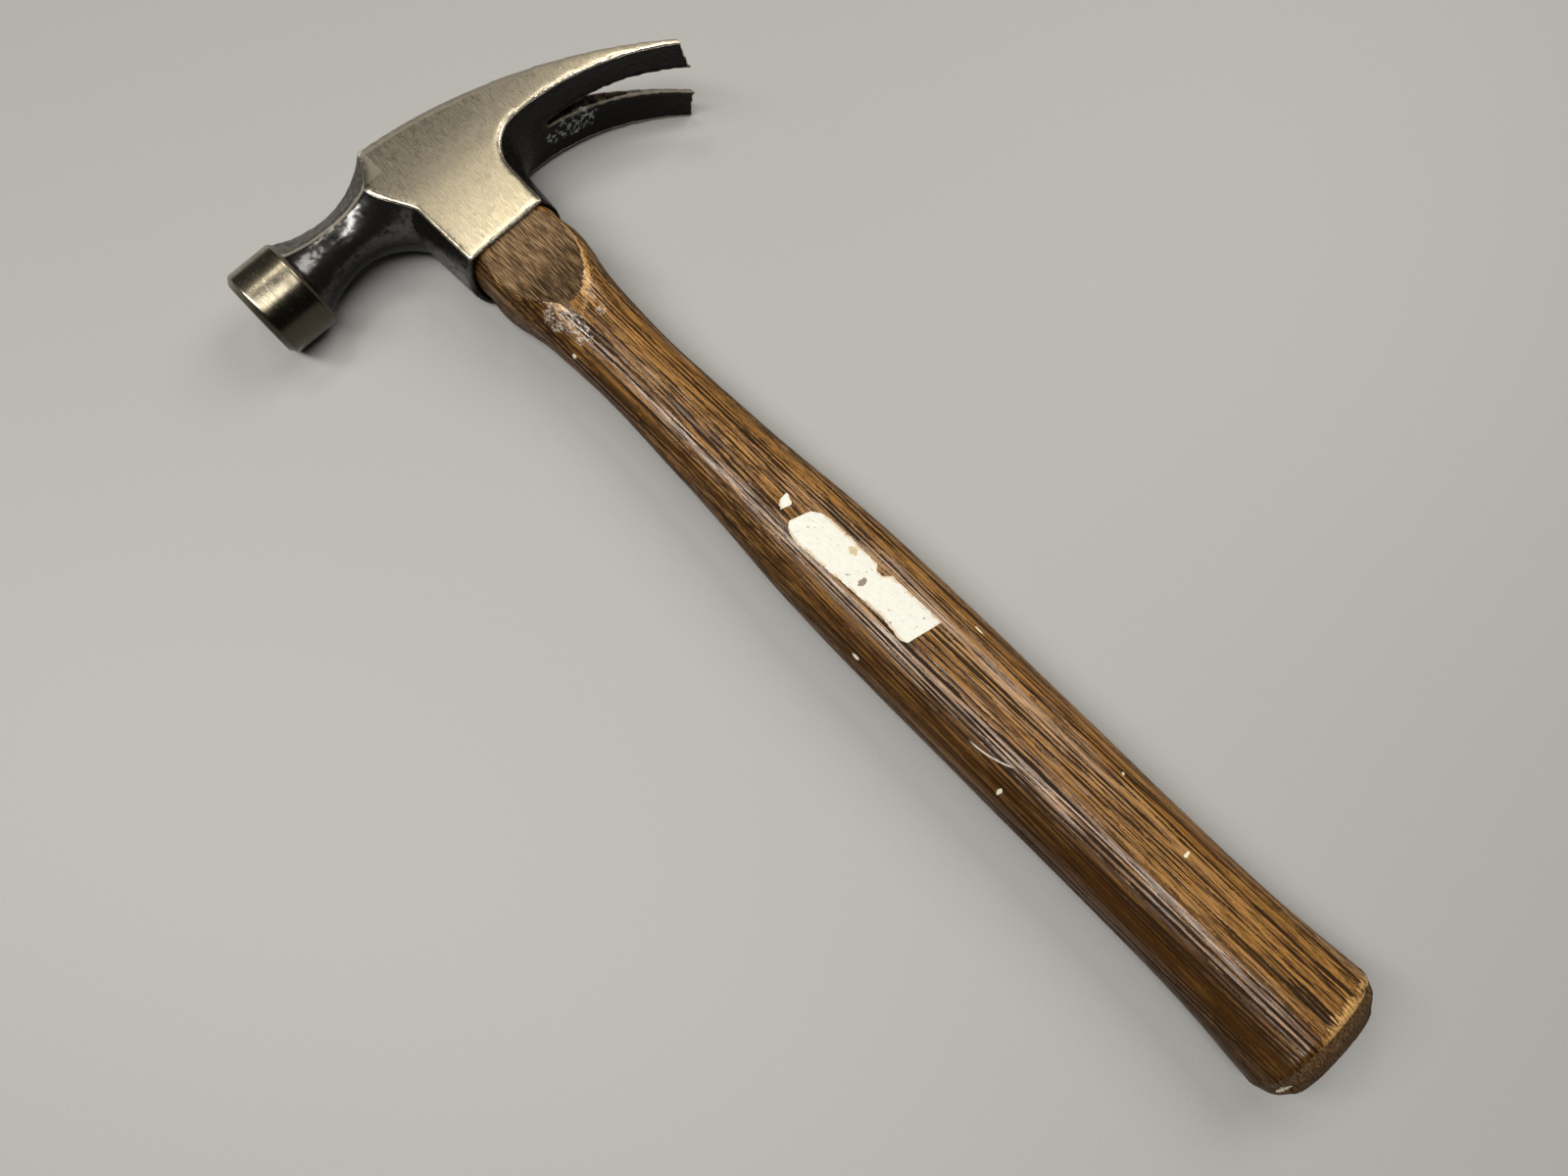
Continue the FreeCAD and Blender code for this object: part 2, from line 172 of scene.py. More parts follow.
HASH_PRIMES = np.array([73856093, 19349663, 83492791])
SEED_PRIME = 2654435761
MIX_PRIMES = ((13, 1274126177), (15, 668265263))
HASH_BITS = 0x7FFFFFFF


def lattice_noise(points, seed):
    """Smooth noise from -1 to 1. Each corner of a unit lattice has a random value from a hash of
    its whole coordinates, and the eight around a point are blended with weights 3t^2 - 2t^3."""
    cell = np.floor(points).astype(np.int64)
    t = points - cell
    t = t * t * (3 - 2 * t)
    total = np.zeros(len(points))
    for corner in itertools.product((0, 1), repeat=3):
        key = (cell + np.array(corner)) * HASH_PRIMES
        mixed = key[:, 0] ^ key[:, 1] ^ key[:, 2] ^ (seed * SEED_PRIME & HASH_BITS)
        for shift, prime in MIX_PRIMES:
            mixed = ((mixed ^ (mixed >> shift)) * prime) & HASH_BITS
        value = (mixed >> 7 & 0xFFFF) / 32767.5 - 1
        total += value * np.prod(np.where(corner, t, 1 - t), axis=1)
    return total


def layered_noise(points, seed, layers):
    """Noise summed over layers, each twice as fine and half as high as the one before."""
    return sum(
        lattice_noise(points * 2 ** layer, seed + layer) / 2 ** layer for layer in range(layers))


def ramp(value, low, high):
    """0 up to low, 1 from high on, and 3t^2 - 2t^3 in between."""
    t = np.clip((value - low) / (high - low), 0, 1)
    return t * t * (3 - 2 * t)


def neighbour_mean(values, edges):
    """Mean of each vertex's neighbours along the edges."""
    count = np.bincount(edges.ravel(), minlength=len(values))
    columns = []
    for column in values.T:
        ahead = np.bincount(edges[:, 0], weights=column[edges[:, 1]], minlength=len(values))
        back = np.bincount(edges[:, 1], weights=column[edges[:, 0]], minlength=len(values))
        columns.append((ahead + back) / np.maximum(count, 1))
    return np.stack(columns, axis=1)


def blurred_grid(grid, rounds):
    """A grid averaged with its neighbours in both directions. Columns wrap round, rows end."""
    for _ in range(rounds):
        grid = (np.roll(grid, 1, axis=1) + 2 * grid + np.roll(grid, -1, axis=1)) / 4
        padded = np.pad(grid, ((1, 1), (0, 0)), mode="edge")
        grid = (padded[:-2] + 2 * grid + padded[2:]) / 4
    return grid


# ---- Meshes

def linked(name, data):
    """A new object in the scene."""
    made = bpy.data.objects.new(name, data)
    bpy.context.scene.collection.objects.link(made)
    return made


def wrapped_quads(rows, columns):
    """Quads between the points of a grid whose last column meets its first. Rows run along Y and
    columns turn from +X to +Z, so the faces look outwards."""
    row, column = np.meshgrid(np.arange(rows - 1), np.arange(columns), indexing="ij")
    after = (column + 1) % columns
    corners = (row * columns + column, (row + 1) * columns + column,
               (row + 1) * columns + after, row * columns + after)
    return np.stack(corners, axis=-1).reshape(-1, 4)


def pole_faces(ring_start, columns, pole, upward):
    """Triangles that close one end of a wrapped grid at its pole."""
    this = ring_start + np.arange(columns)
    after = ring_start + (np.arange(columns) + 1) % columns
    tip = np.full(columns, pole)
    order = (after, this, tip) if upward else (this, after, tip)
    return np.stack(order, axis=-1)


def closed_faces(rows, columns):
    """A wrapped grid's quads and both its ends, whose poles are the two points after the grid."""
    return [
        wrapped_quads(rows, columns),
        pole_faces(0, columns, rows * columns, False),
        pole_faces((rows - 1) * columns, columns, rows * columns + 1, True),
    ]


def make_mesh(name, points, faces, values):
    """A smooth mesh object from bench millimetres, with one number per vertex for each value."""
    mesh = bpy.data.meshes.new(name)
    placed = points * MM + np.array(BENCH)
    mesh.from_pydata(placed.tolist(), [], [face for block in faces for face in block.tolist()])
    mesh.validate()
    for key, numbers in values.items():
        layer = mesh.attributes.new(key, "FLOAT", "POINT")
        layer.data.foreach_set("value", np.asarray(numbers, np.float32))
    mesh.polygons.foreach_set("use_smooth", np.ones(len(mesh.polygons), bool))
    mesh.update()
    return linked(name, mesh)


def bench_points(mesh):
    """The mesh's vertices in bench millimetres."""
    points = np.empty(len(mesh.vertices) * 3)
    mesh.vertices.foreach_get("co", points)
    return (points.reshape(-1, 3) - np.array(BENCH)) / MM


def vertex_normals(mesh):
    """The mesh's normals at its vertices."""
    normals = np.empty(len(mesh.vertices) * 3, np.float32)
    mesh.vertex_normals.foreach_get("vector", normals)
    return normals.reshape(-1, 3).astype(float)


def whole_numbers(items, key, width):
    """Indices that the mesh's items hold under a key, as rows of that width."""
    numbers = np.empty(len(items) * width, np.int32)
    items.foreach_get(key, numbers)
    return numbers.reshape(-1, width)


# ---- Shaders

class Value:
    """A number at a shader's socket, with the usual arithmetic. Each step adds one Math node."""

    def __init__(self, look, socket):
        self.look = look
        self.socket = socket

    def math(self, operation, *others, turned=False):
        """The operation on this value and the others, in the other order when turned."""
        items = (self,) + others
        inputs = dict(enumerate(items[::-1] if turned else items))
        return Value(self.look, self.look.node(
            "ShaderNodeMath", {"operation": operation}, inputs, 0))

    def __add__(self, other):
        return self.math("ADD", other)

    def __sub__(self, other):
        return self.math("SUBTRACT", other)

    def __rsub__(self, other):
        return self.math("SUBTRACT", other, turned=True)

    def __mul__(self, other):
        return self.math("MULTIPLY", other)

    def __truediv__(self, other):
        return self.math("DIVIDE", other)

    def __pow__(self, other):
        return self.math("POWER", other)

    __radd__ = __add__
    __rmul__ = __mul__

    def rise(self, low, high):
        """0 up to low, 1 from high on, smooth in between. With high under low it falls."""
        return Value(self.look, self.look.node(
            "ShaderNodeMapRange", {"interpolation_type": "SMOOTHSTEP"}, {
                "Value": self, "From Min": min(low, high), "From Max": max(low, high),
                "To Min": float(low > high), "To Max": float(low < high)}, "Result"))


def either(*values):
    """The largest of the values."""
    return functools.reduce(lambda first, second: first.math("MAXIMUM", second), values)


def both(*values):
    """The smallest of the values."""
    return functools.reduce(lambda first, second: first.math("MINIMUM", second), values)


def shade(colour, *shares):
    """A plain colour times one share, or times a share for each of its parts."""
    shares = shares * 3 if len(shares) == 1 else shares
    return tuple(part * share for part, share in zip(colour, shares))


class Finish:
    """One material under construction: nodes on bench coordinates that end in a Principled BSDF."""

    def __init__(self, name):
        self.material = bpy.data.materials.new(name)
        self.material.use_nodes = True
        self.tree = self.material.node_tree
        self.tree.nodes.clear()
        self.shader = self.node("ShaderNodeBsdfPrincipled", {}, {}, None)
        self.node("ShaderNodeOutputMaterial", {}, {"Surface": self.shader.outputs["BSDF"]}, None)
        place = self.node("ShaderNodeTexCoord", {}, {}, "Object")
        # In bench millimetres
        self.place = self.node("ShaderNodeMapping", {}, {
            "Vector": place, "Location": tuple(-v / MM for v in BENCH), "Scale": (1 / MM,) * 3,
        }, "Vector")
        axes = self.node("ShaderNodeSeparateXYZ", {}, {"Vector": self.place}, None)
        self.x, self.y, self.z = (Value(self, axes.outputs[axis]) for axis in "XYZ")

    def node(self, kind, settings, inputs, output):
        """A node of that type: its settings first, then its sockets' values or links. Returns the
        output socket of that name or number, or the node itself when output is None."""
        made = self.tree.nodes.new(kind)
        for key, setting in settings.items():
            setattr(made, key, setting)
        self.feed(made, inputs)
        return made if output is None else made.outputs[output]

    def feed(self, made, inputs):
        """Gives a node's sockets their values or links."""
        for key, given in inputs.items():
            given = given.socket if isinstance(given, Value) else given
            if isinstance(given, bpy.types.NodeSocket):
                self.tree.links.new(given, made.inputs[key])
            else:
                made.inputs[key].default_value = given

    def noise(self, scale, detail, rough, shift=(0.0, 0.0, 0.0)):
        """Noise from -0.5 to 0.5 with that many cycles per millimetre along X, Y and Z."""
        where = self.node("ShaderNodeMapping", {}, {
            "Vector": self.place, "Location": shift, "Scale": scale}, "Vector")
        return Value(self, self.node("ShaderNodeTexNoise", {}, {
            "Vector": where, "Scale": 1.0, "Detail": detail, "Roughness": rough}, "Fac")) - 0.5

    def patterns(self, table):
        """The noises of a table by their names."""
        return SimpleNamespace(**{name: self.noise(*row) for name, row in table.items()})

    def attributes(self, *names):
        """The numbers that the mesh holds at its vertices under these names."""
        return [Value(self, self.node("ShaderNodeAttribute", {"attribute_name": name}, {}, "Fac"))
                for name in names]

    def mix(self, factor, low, high):
        """Colour low where factor is 0 and high where it is 1."""
        return self.node("ShaderNodeMix", {"data_type": "RGBA"}, {
            0: factor, 6: self.colour(low), 7: self.colour(high)}, 2)

    @staticmethod
    def colour(given):
        """A colour socket as it is, or plain numbers with an alpha."""
        return given if isinstance(given, bpy.types.NodeSocket) else tuple(given) + (1.0,)

    def spot(self, centre, size, ragged):
        """1 inside a ragged oval spot: centre and half sizes along X, Y and Z."""
        x, y, z = ((axis - middle) / half
                   for axis, middle, half in zip((self.x, self.y, self.z), centre, size))
        wobble = self.noise((ragged,) * 3, 3.0, 0.6, centre)
        return ((x * x + y * y + z * z) ** 0.5 + wobble * 1.6).rise(1.05, 0.85)

    def finish(self, colour, roughness, height, **sockets):
        """Links the shader. The height, in millimetres, bends its normals."""
        normal = self.node("ShaderNodeBump", {}, {
            "Height": height, "Distance": MM, "Strength": 1.0}, "Normal")
        self.feed(self.shader, {
            "Base Color": self.colour(colour), "Roughness": roughness, "Normal": normal,
            **{key.replace("_", " "): value for key, value in sockets.items()}})
        return self.material


# ---- The head

BELL_LENGTH = 15.4
BELL_BACK_X = FACE_X + BELL_LENGTH      # the bell's back edge
BELL_RADIUS = 13.4
BELL_COLUMNS = 288                      # points round the bell
BELL_ROWS = 148                         # rings of points along its profile
FACE_CHAMFER = 1.8
BACK_CHAMFER = 0.8
BELL_LAP = 0.3                          # how far the forging runs on inside the bell
ARRIS_Y = 1.5                           # the neck's belly ends at this height
BROW_X = -14.6                          # the neck meets the flat cheek here
FLARE_START_X = 8.0                     # the claws begin to spread here
CROWN_RADIUS = 139.5
CROWN_PEAK = (-24.4, 11.45)
SLOT_END_X = 33.0
SLOT_END_HALF = 1.0
SLOT_TIP_HALF = 5.3
SAME_POINT = 0.002                      # points closer than this are one
CUT_SLACK = 1e-7
EASE_ROUNDS = 14
EDGE_ROUNDS = 6                         # smoothing against which an edge stands out
FAR = 9.0                               # stands for "nowhere near" in the head's values


def side_z(x):
    """Half the head's width at x: flat cheeks, then a parabola out to the tips of the claws."""
    run = np.clip((x - FLARE_START_X) / (CLAW_X - FLARE_START_X), 0, 1)
    return CHEEK_Z + (CLAW_Z - CHEEK_Z) * run ** 2


def crown_y(x):
    """Height of the crown at x, on its long arc."""
    return CROWN_PEAK[1] - CROWN_RADIUS + np.sqrt(CROWN_RADIUS ** 2 - (x - CROWN_PEAK[0]) ** 2)


def slot_half(x):
    """Half the nail slot's width at x."""
    run = (x - SLOT_END_X) / (CLAW_X - SLOT_END_X)
    return SLOT_END_HALF + (SLOT_TIP_HALF - SLOT_END_HALF) * run


def forging_blank(grain):
    """The CAD head without its bell, closed, then rebuilt as an even net of quads."""
    rough = bmesh.new()
    rough.from_mesh(frame["nodes"]["head"].data)
    bmesh.ops.remove_doubles(rough, verts=rough.verts, dist=SAME_POINT * MM)
    cut_x = BENCH.x + (BELL_BACK_X + BELL_LAP) * MM
    bmesh.ops.bisect_plane(
        rough, geom=rough.verts[:] + rough.edges[:] + rough.faces[:], dist=CUT_SLACK,
        plane_co=(cut_x, 0, 0), plane_no=(-1, 0, 0), clear_outer=True)
    open_edges = [edge for edge in rough.edges if edge.is_boundary]
    bmesh.ops.holes_fill(rough, edges=open_edges, sides=0)
    bmesh.ops.recalc_face_normals(rough, faces=rough.faces[:])
    mesh = bpy.data.meshes.new("forging blank")
    rough.to_mesh(mesh)
    rough.free()
    blank = linked("forging blank", mesh)
    net = blank.modifiers.new("net", "REMESH")
    net.mode = "VOXEL"
    net.voxel_size = grain
    graph = bpy.context.evaluated_depsgraph_get()
    even = bpy.data.meshes.new_from_object(blank.evaluated_get(graph))
    bpy.data.objects.remove(blank)
    bpy.data.meshes.remove(mesh)
    return even


def eased(points, normals, edges):
    """Points with the facets and steps of the net smoothed away, more on flats than on edges."""
    spread = 1 - np.linalg.norm(neighbour_mean(normals, edges), axis=1)
    spread = neighbour_mean(spread[:, None], edges)[:, 0]
    share = 0.12 + 0.5 * ramp(spread, 0.03, 0.004)
    for _ in range(EASE_ROUNDS):
        mean = neighbour_mean(points, edges)
        points = points + (mean - points) * share[:, None]
    return points


def forging_values(points, normals, edges):
    """What the head's finish reads at each vertex: depths in millimetres under the sides and the
    crown and into the slot's wall, height over the neck's arris, and how far the surface stands
    out from a smoothed copy of itself."""
    x, y, z = points.T
    smooth = points
    for _ in range(EDGE_ROUNDS):
        smooth = neighbour_mean(smooth, edges)
    return {
        "side": side_z(x) - np.abs(z),
        "crown": np.where(x > BROW_X - 0.5, crown_y(x) - y, FAR),
        "arris": np.where(x < BROW_X + 1.5, y - ARRIS_Y, -FAR),
        "slot": np.where(x > SLOT_END_X - 2, np.abs(z) - slot_half(x), FAR),
        "edge": np.einsum("ij,ij->i", points - smooth, normals),
    }


def make_forging(steel):
    """The head behind the bell. The paint's lumps are noise along the normals, three sizes of it,
    fading out on the ground sides, the ground sides dip by a few hundredths, the sharpest edges
    are nicked, and a raised seam runs along the slot's lower edges."""
    mesh = forging_blank(steel.grain)
    edges = whole_numbers(mesh.edges, "vertices", 2)
    points = eased(bench_points(mesh), vertex_normals(mesh), edges)
    mesh.vertices.foreach_set("co", (points * MM + np.array(BENCH)).ravel())
    mesh.update()
    normals = vertex_normals(mesh)
    values = forging_values(points, normals, edges)
    painted = ramp(values["side"], 0.3, 1.2) * ramp(values["crown"], 0.3, 1.2)
    lumps = sum(lattice_noise(points / size, seed) * height
                for size, seed, height in ((1.7, 11, 0.6), (0.8, 12, 0.4), (5.0, 13, 0.8)))
    dents = layered_noise(points / 9.0, 21, 2) * 0.015
    nicks = ramp(values["edge"], 0.02, 0.08) * np.minimum(lattice_noise(points / 1.1, 31), 0)
    seam = np.exp(-((values["slot"] - 0.7) / 0.6) ** 2) * ramp(-normals[:, 1], 0.2, 0.6)
    seam = seam * ramp(points[:, 0], SLOT_END_X, SLOT_END_X + 6)
    raised = seam * (0.22 + 0.16 * lattice_noise(points / 1.3, 41))
    height = painted * (lumps * steel.lumps / MM - 0.05) - np.abs(dents) + nicks * 0.09 + raised
    points = points + normals * height[:, None]
    faces = whole_numbers(mesh.loops, "vertex_index", 1).reshape(-1, 4)
    piece = make_mesh("head_forging", points, [faces], values)
    bpy.data.meshes.remove(mesh)
    return piece


def make_bell():
    """The bell, turned about its axis: a profile of reach and radius, rounded a little at its
    edges by interpolation, times a circle. The face is barely domed and lightly dinged."""
    rim_radius, back = BELL_RADIUS - FACE_CHAMFER, BELL_LENGTH + BACK_CHAMFER
    corners = np.array([
        (0.0, 0.0), (0.02, 5.0), (0.0, 8.0), (0.03, rim_radius - 0.5), (0.22, rim_radius),
        (FACE_CHAMFER - 0.2, BELL_RADIUS - 0.12), (FACE_CHAMFER + 0.4, BELL_RADIUS),
        (BELL_LENGTH - 0.25, BELL_RADIUS), (BELL_LENGTH + 0.05, BELL_RADIUS - 0.12),
        (back, BELL_RADIUS - BACK_CHAMFER), (back, 0.0),
    ])
    lengths = np.linalg.norm(np.diff(corners, axis=0), axis=1)
    walked = np.concatenate([[0], np.cumsum(lengths)])
    along = np.linspace(0, walked[-1], BELL_ROWS + 2)[1:-1]
    reach = np.interp(along, walked, corners[:, 0])
    radius = np.interp(along, walked, corners[:, 1])
    turn = np.linspace(0, 2 * np.pi, BELL_COLUMNS, endpoint=False)
    x = np.repeat((FACE_X + reach)[:, None], BELL_COLUMNS, axis=1)
    y = radius[:, None] * np.cos(turn)
    z = radius[:, None] * np.sin(turn)
    points = np.stack([x, y, z], axis=-1).reshape(-1, 3)
    rim = np.exp(-((points[:, 0] - FACE_X - 0.9) / 1.0) ** 2)
    nicks = np.minimum(lattice_noise(points / 1.4, 51) + 0.25, 0) * 0.20 * rim
    dings = np.minimum(layered_noise(points / 2.2, 52, 2) + 0.35, 0) * 0.05
    outward = points * np.array([0.0, 1.0, 1.0])
    outward = outward / np.maximum(np.linalg.norm(outward, axis=1), 1e-6)[:, None]
    points = points + outward * nicks[:, None]
    points[:, 0] -= dings * (points[:, 0] < FACE_X + 0.15)
    poles = np.array([[FACE_X, 0, 0], [FACE_X + reach[-1], 0, 0]])
    # The circle turns the other way about X than the handle's about Y, so its faces are reversed
    faces = [block[:, ::-1] for block in closed_faces(BELL_ROWS, BELL_COLUMNS)]
    return make_mesh("head_bell", np.concatenate([points, poles]), faces, {})


# Noises of a finish: cycles per millimetre along X, Y and Z, layers, roughness, and shift if any
STEEL_PATTERNS = {
    "ragged": ((1.1, 1.1, 1.1), 4.0, 0.6),
    "fine": ((3.0, 3.0, 3.0), 3.0, 0.6),
    "brushed": ((3.0, 0.26, 3.0), 4.0, 0.7),
    "hairline": ((7.0, 0.9, 7.0), 2.0, 0.6),
    "cloud": ((0.13, 0.09, 0.13), 4.0, 0.6),
    "pits": ((1.5, 0.8, 1.5), 4.0, 0.7),
    "rust": ((0.45, 0.45, 0.45), 4.0, 0.65),
    "mottle": ((0.8, 0.8, 0.8), 5.0, 0.7),
    "soot": ((0.5, 0.5, 0.5), 4.0, 0.6),
    "wisp": ((0.7, 0.9, 0.7), 5.0, 0.7),
    "lumps": ((0.6, 0.6, 0.6), 3.0, 0.6),
    "grit": ((2.6, 2.6, 2.6), 2.0, 0.6),
}
BELL_PATTERNS = {
    "rings": ((4.6, 0.20, 0.20), 3.0, 0.65),
    "hairline": ((12.0, 0.5, 0.5), 2.0, 0.6),
    "blots": ((0.25, 0.25, 0.25), 4.0, 0.6),
    "pits": ((1.5, 1.5, 1.5), 4.0, 0.7),
}
# Shares of the bare colour for random tarnish and painted shade on the ground sides
TARNISH_AND_SHADE_SHARES = (0.44, 0.47, 0.55)
PIT_BROWN = (0.13, 0.095, 0.06)
BELL_PIT_BROWN = (0.10, 0.075, 0.05)
BACK_BROWN = (0.06, 0.042, 0.026)
RUST_BROWN = (0.060, 0.032, 0.016)
SOOT = (0.010, 0.0088, 0.0076)
SCUFF_GREY = (0.30, 0.32, 0.32)
CLAW_SCUFF = ((40.0, -12.5, -6.0), (8.5, 5.0, 4.0), 0.35)


def forging_finish(steel):
    """Ground steel on the sides and the crown, dull steel on the neck's facets, black paint on
    the rest, with the paint rubbed off the sharpest edges."""
    look = Finish("forged steel and black paint")
    side, crown, arris, slot, edge = look.attributes("side", "crown", "arris", "slot", "edge")
    n = look.patterns(STEEL_PATTERNS)
    ground = either((side + n.ragged * 0.30 + n.fine * 0.2).rise(0.62, 0.50),
                    (crown + n.ragged * 0.30).rise(0.62, 0.50), (side + crown).rise(1.7, 1.4))
    facet = (arris + n.ragged * 0.5).rise(-0.35, 0.0)
    ridge = both((arris + n.fine * 0.5).rise(-0.7, -0.2), (arris + n.ragged * 0.9).rise(0.9, 0.4))
    ridge = either(ridge, both((arris + side + n.ragged).rise(2.6, 1.6), facet))
    rubbed = (edge + n.ragged * 0.07 + n.fine * 0.03).rise(0.115, 0.150)
    rubbed = rubbed * either(look.y.rise(COLLAR_Y + 1.0, COLLAR_Y + 2.5), ground)
    rubbed = rubbed * (1 - slot.rise(1.6, 0.9) * 0.75)
    chip = both((n.ragged + n.fine).rise(0.42, 0.50), (edge + n.ragged * 0.1).rise(0.02, 0.06))
    rubbed = either(rubbed, chip * 0.8)
    # The ground sides, brushed along the handle's direction, with random tarnish and painted shade
    # that darkens them towards the crown
    pits = both(n.pits.rise(0.12, 0.20), ground)
    tarnish_and_painted_shade = (look.y.rise(-24.0, 2.0) * 0.95 + n.cloud * 0.7).rise(0.0, 1.0)
    bare = look.mix(tarnish_and_painted_shade, steel.bare, shade(steel.bare, *TARNISH_AND_SHADE_SHARES))
    bare = look.mix(n.brushed * 2.2 + 0.40, bare, shade(steel.bare, 0.62))
    bare = look.mix(pits * 0.6, bare, PIT_BROWN)
    bare = look.mix(both(side.rise(0.30, 0.45), side.rise(0.75, 0.6)) * 0.55, bare, steel.worn)
    dull = look.mix(n.mottle.rise(-0.10, 0.10), steel.dull, shade(steel.dull, 0.22))
    # The paint: sooty, rusted along the slot, scuffed under one claw
    rust = both(n.rust.rise(-0.04, 0.16), slot.rise(1.2, 0.1))
    scuff = both(look.spot(*CLAW_SCUFF), n.wisp.rise(0.0, 0.07))
    paint = look.mix(n.soot.rise(-0.05, 0.25) * 0.6, steel.paint, SOOT)
    paint = look.mix(rust * 0.85, paint, RUST_BROWN)
    paint = look.mix(scuff * 0.85, paint, SCUFF_GREY)
    colour = look.mix(ground, look.mix(facet, paint, dull), bare)
    colour = look.mix(rubbed * 0.8, colour, steel.worn)
    colour = look.mix(ridge * (1 - ground) * 0.85, colour, steel.worn)
    metal = either(ground, either(rubbed, ridge) * 0.8, facet * 0.8) * (1 - pits * 0.4)
    paint_rough = n.soot * 0.22 + rust * 0.3 + scuff * 0.4 + 0.27
    steel_rough = n.brushed * 0.26 + n.cloud * 0.08 + facet * 0.1 + 0.27
    brink = (side + crown).rise(2.6, 1.4)
    rough = paint_rough * (1 - metal) + (steel_rough + brink * 0.25) * metal
    scratches = n.brushed * 0.016 + n.hairline * 0.007 + n.cloud * 0.02
    film = (1 - metal) * (n.lumps * 0.26 + n.grit * 0.04 + 0.19)
    gloss = (1 - metal) * look.x.rise(-8.0, -18.0) * n.soot.rise(0.22, -0.02)
    return look.finish(
        colour, rough, scratches * ground - pits * 0.03 + film, Metallic=metal,
        Coat_Weight=gloss * look.z.rise(-1.0, 6.0), Coat_Roughness=0.22, Coat_IOR=1.8,
        Specular_IOR_Level=0.08)


def bell_finish(steel):
    """Steel brushed round the bell, darker on the face's chamfer and the back edge, with painted
    shade on the side towards the handle's butt."""
    look = Finish("turned steel")
    n = look.patterns(BELL_PATTERNS)
    radius = (look.y * look.y + look.z * look.z) ** 0.5
    chamfer = (look.x - FACE_X).rise(FACE_CHAMFER + 0.15, FACE_CHAMFER - 0.1)
    back = (look.x - BELL_BACK_X).rise(-0.1, 0.3)
    pits = n.pits.rise(0.14, 0.22)
    rubbed = both((radius - BELL_RADIUS).rise(-0.25, -0.05), chamfer)
    # Painted shade: the bell darkens on its side towards the handle's butt, ragged by the blots
    under = (look.y + n.blots * 8.0).rise(-1.0, -9.0)
    colour = look.mix(n.rings * 2.4 + 0.4, steel.bare, shade(steel.bare, 0.55))
    colour = look.mix(n.blots.rise(-0.04, 0.24) * 0.65, colour, shade(steel.bare, 0.42))
    colour = look.mix(pits * 0.6, colour, BELL_PIT_BROWN)
    colour = look.mix(chamfer * 0.75, colour, shade(steel.bare, 0.32))
    colour = look.mix(rubbed * 0.4, colour, steel.worn)
    colour = look.mix(under * 0.92, colour, shade(steel.bare, 0.10))
    colour = look.mix(back * 0.8, colour, BACK_BROWN)
    rough = n.rings * 0.24 + n.blots * 0.16 + chamfer * 0.10 + back * 0.2 + 0.23
    height = n.rings * 0.016 + n.hairline * 0.006 - pits * 0.03
    return look.finish(colour, rough, height, Metallic=1.0 - back * 0.6)


# ---- The handle

FLAT_BELOW = 36.0                       # the two flats end above this distance below the collar
BUTT_EDGE = 7.2                         # the butt's chamfer begins this far above its end
WOOD_FLATNESS = 0.76                    # the handle's thickness against its width
COLUMNS = 480                           # points round the handle
LEAST_RADIUS = 4.0                      # the handle is thicker than this everywhere
TOP_RECESS = 0.45                       # how far the wood's top lies under the crown
BUTT_SHARES = np.linspace(0.05, 0.93, 8)            # sizes of the rings that close the butt
TOP_SHARES = (0.985, 0.95, 0.85, 0.72, 0.58, 0.44, 0.30, 0.17, 0.06)    # and the top
EYE_DEPTH = 0.04                        # how far the wood is cut back inside the eye
# Splinters missing from the butt's edge: centre, size and depth
CHIPS = (
    ((-15.5, BUTT_Y + 3.0, 6.5), (3.0, 2.6, 2.6), 1.0),
    ((14.5, BUTT_Y + 5.5, 8.5), (2.0, 2.4, 2.4), 0.9),
    ((17.5, BUTT_Y + 4.0, -3.0), (2.0, 2.6, 4.0), 0.8),
)
# Spots of old paint, then scuffs that are partly painted highlight: centre and half size along X, Y
# and Z
PAINT_SPOTS = (
    ((-13.4, -234.3, 8.2), (0.9, 0.6, 2.0)), ((7.1, -275.0, 11.6), (1.1, 0.45, 2.0)),
    ((10.9, -252.0, 9.5), (0.45, 0.45, 2.0)), ((-10.7, -73.7, 5.3), (0.5, 0.7, 2.0)),
    ((-14.6, -186.0, 5.5), (0.35, 1.2, 2.0)), ((11.8, -203.0, 9.0), (0.3, 1.6, 2.0)),
    ((-14.5, -326.3, 6.0), (2.4, 1.2, 2.0)),
)
PAINT_RAGGED = 1.2
# Scuffs below the flats, partly painted highlight: centre, half size, and how ragged
SCUFFS_AND_SHEEN = (
    ((-7.6, -64.0, 10.0), (3.2, 4.0, 5.0), 0.35), ((-5.4, -70.0, 10.0), (2.6, 6.5, 5.0), 0.35),
    ((2.6, -71.0, 10.0), (1.8, 1.3, 5.0), 0.8),
)


def wood_outline(heights, turns):
    """Radius of the CAD handle about its axis at each height and turn. At each height the mesh's
    triangles are cut by a level plane, and each ray meets the outermost of the cut's segments.
    Rays that leave through the wedges' kerf take a radius between their neighbours'."""
    mesh = frame["nodes"]["handle"].data
    mesh.calc_loop_triangles()
    triangles = bench_points(mesh)[whole_numbers(mesh.loop_triangles, "vertices", 3)]
    ray = np.stack([np.cos(turns), np.sin(turns)], axis=1)
    radii = np.empty((len(heights), len(turns)))
    for row, height in enumerate(heights):
        start, end = level_cut(triangles, height)
        step = end - start
        across = ray[:, None, 0] * step[None, :, 1] - ray[:, None, 1] * step[None, :, 0]
        offset = ray[:, None, 0] * start[None, :, 1] - ray[:, None, 1] * start[None, :, 0]
        with np.errstate(divide="ignore", invalid="ignore"):
            share = -offset / across
        meets = (share > -1e-6) & (share < 1 + 1e-6)
        share = np.where(meets, share, 0)
        hit = start[None] + share[..., None] * step[None]
        reach = np.einsum("rsk,rk->rs", hit, ray)
        radii[row] = np.where(meets, reach, 0).max(axis=1)
        known = radii[row] > LEAST_RADIUS
        radii[row] = np.interp(turns, turns[known], radii[row, known], period=2 * np.pi)
    return radii


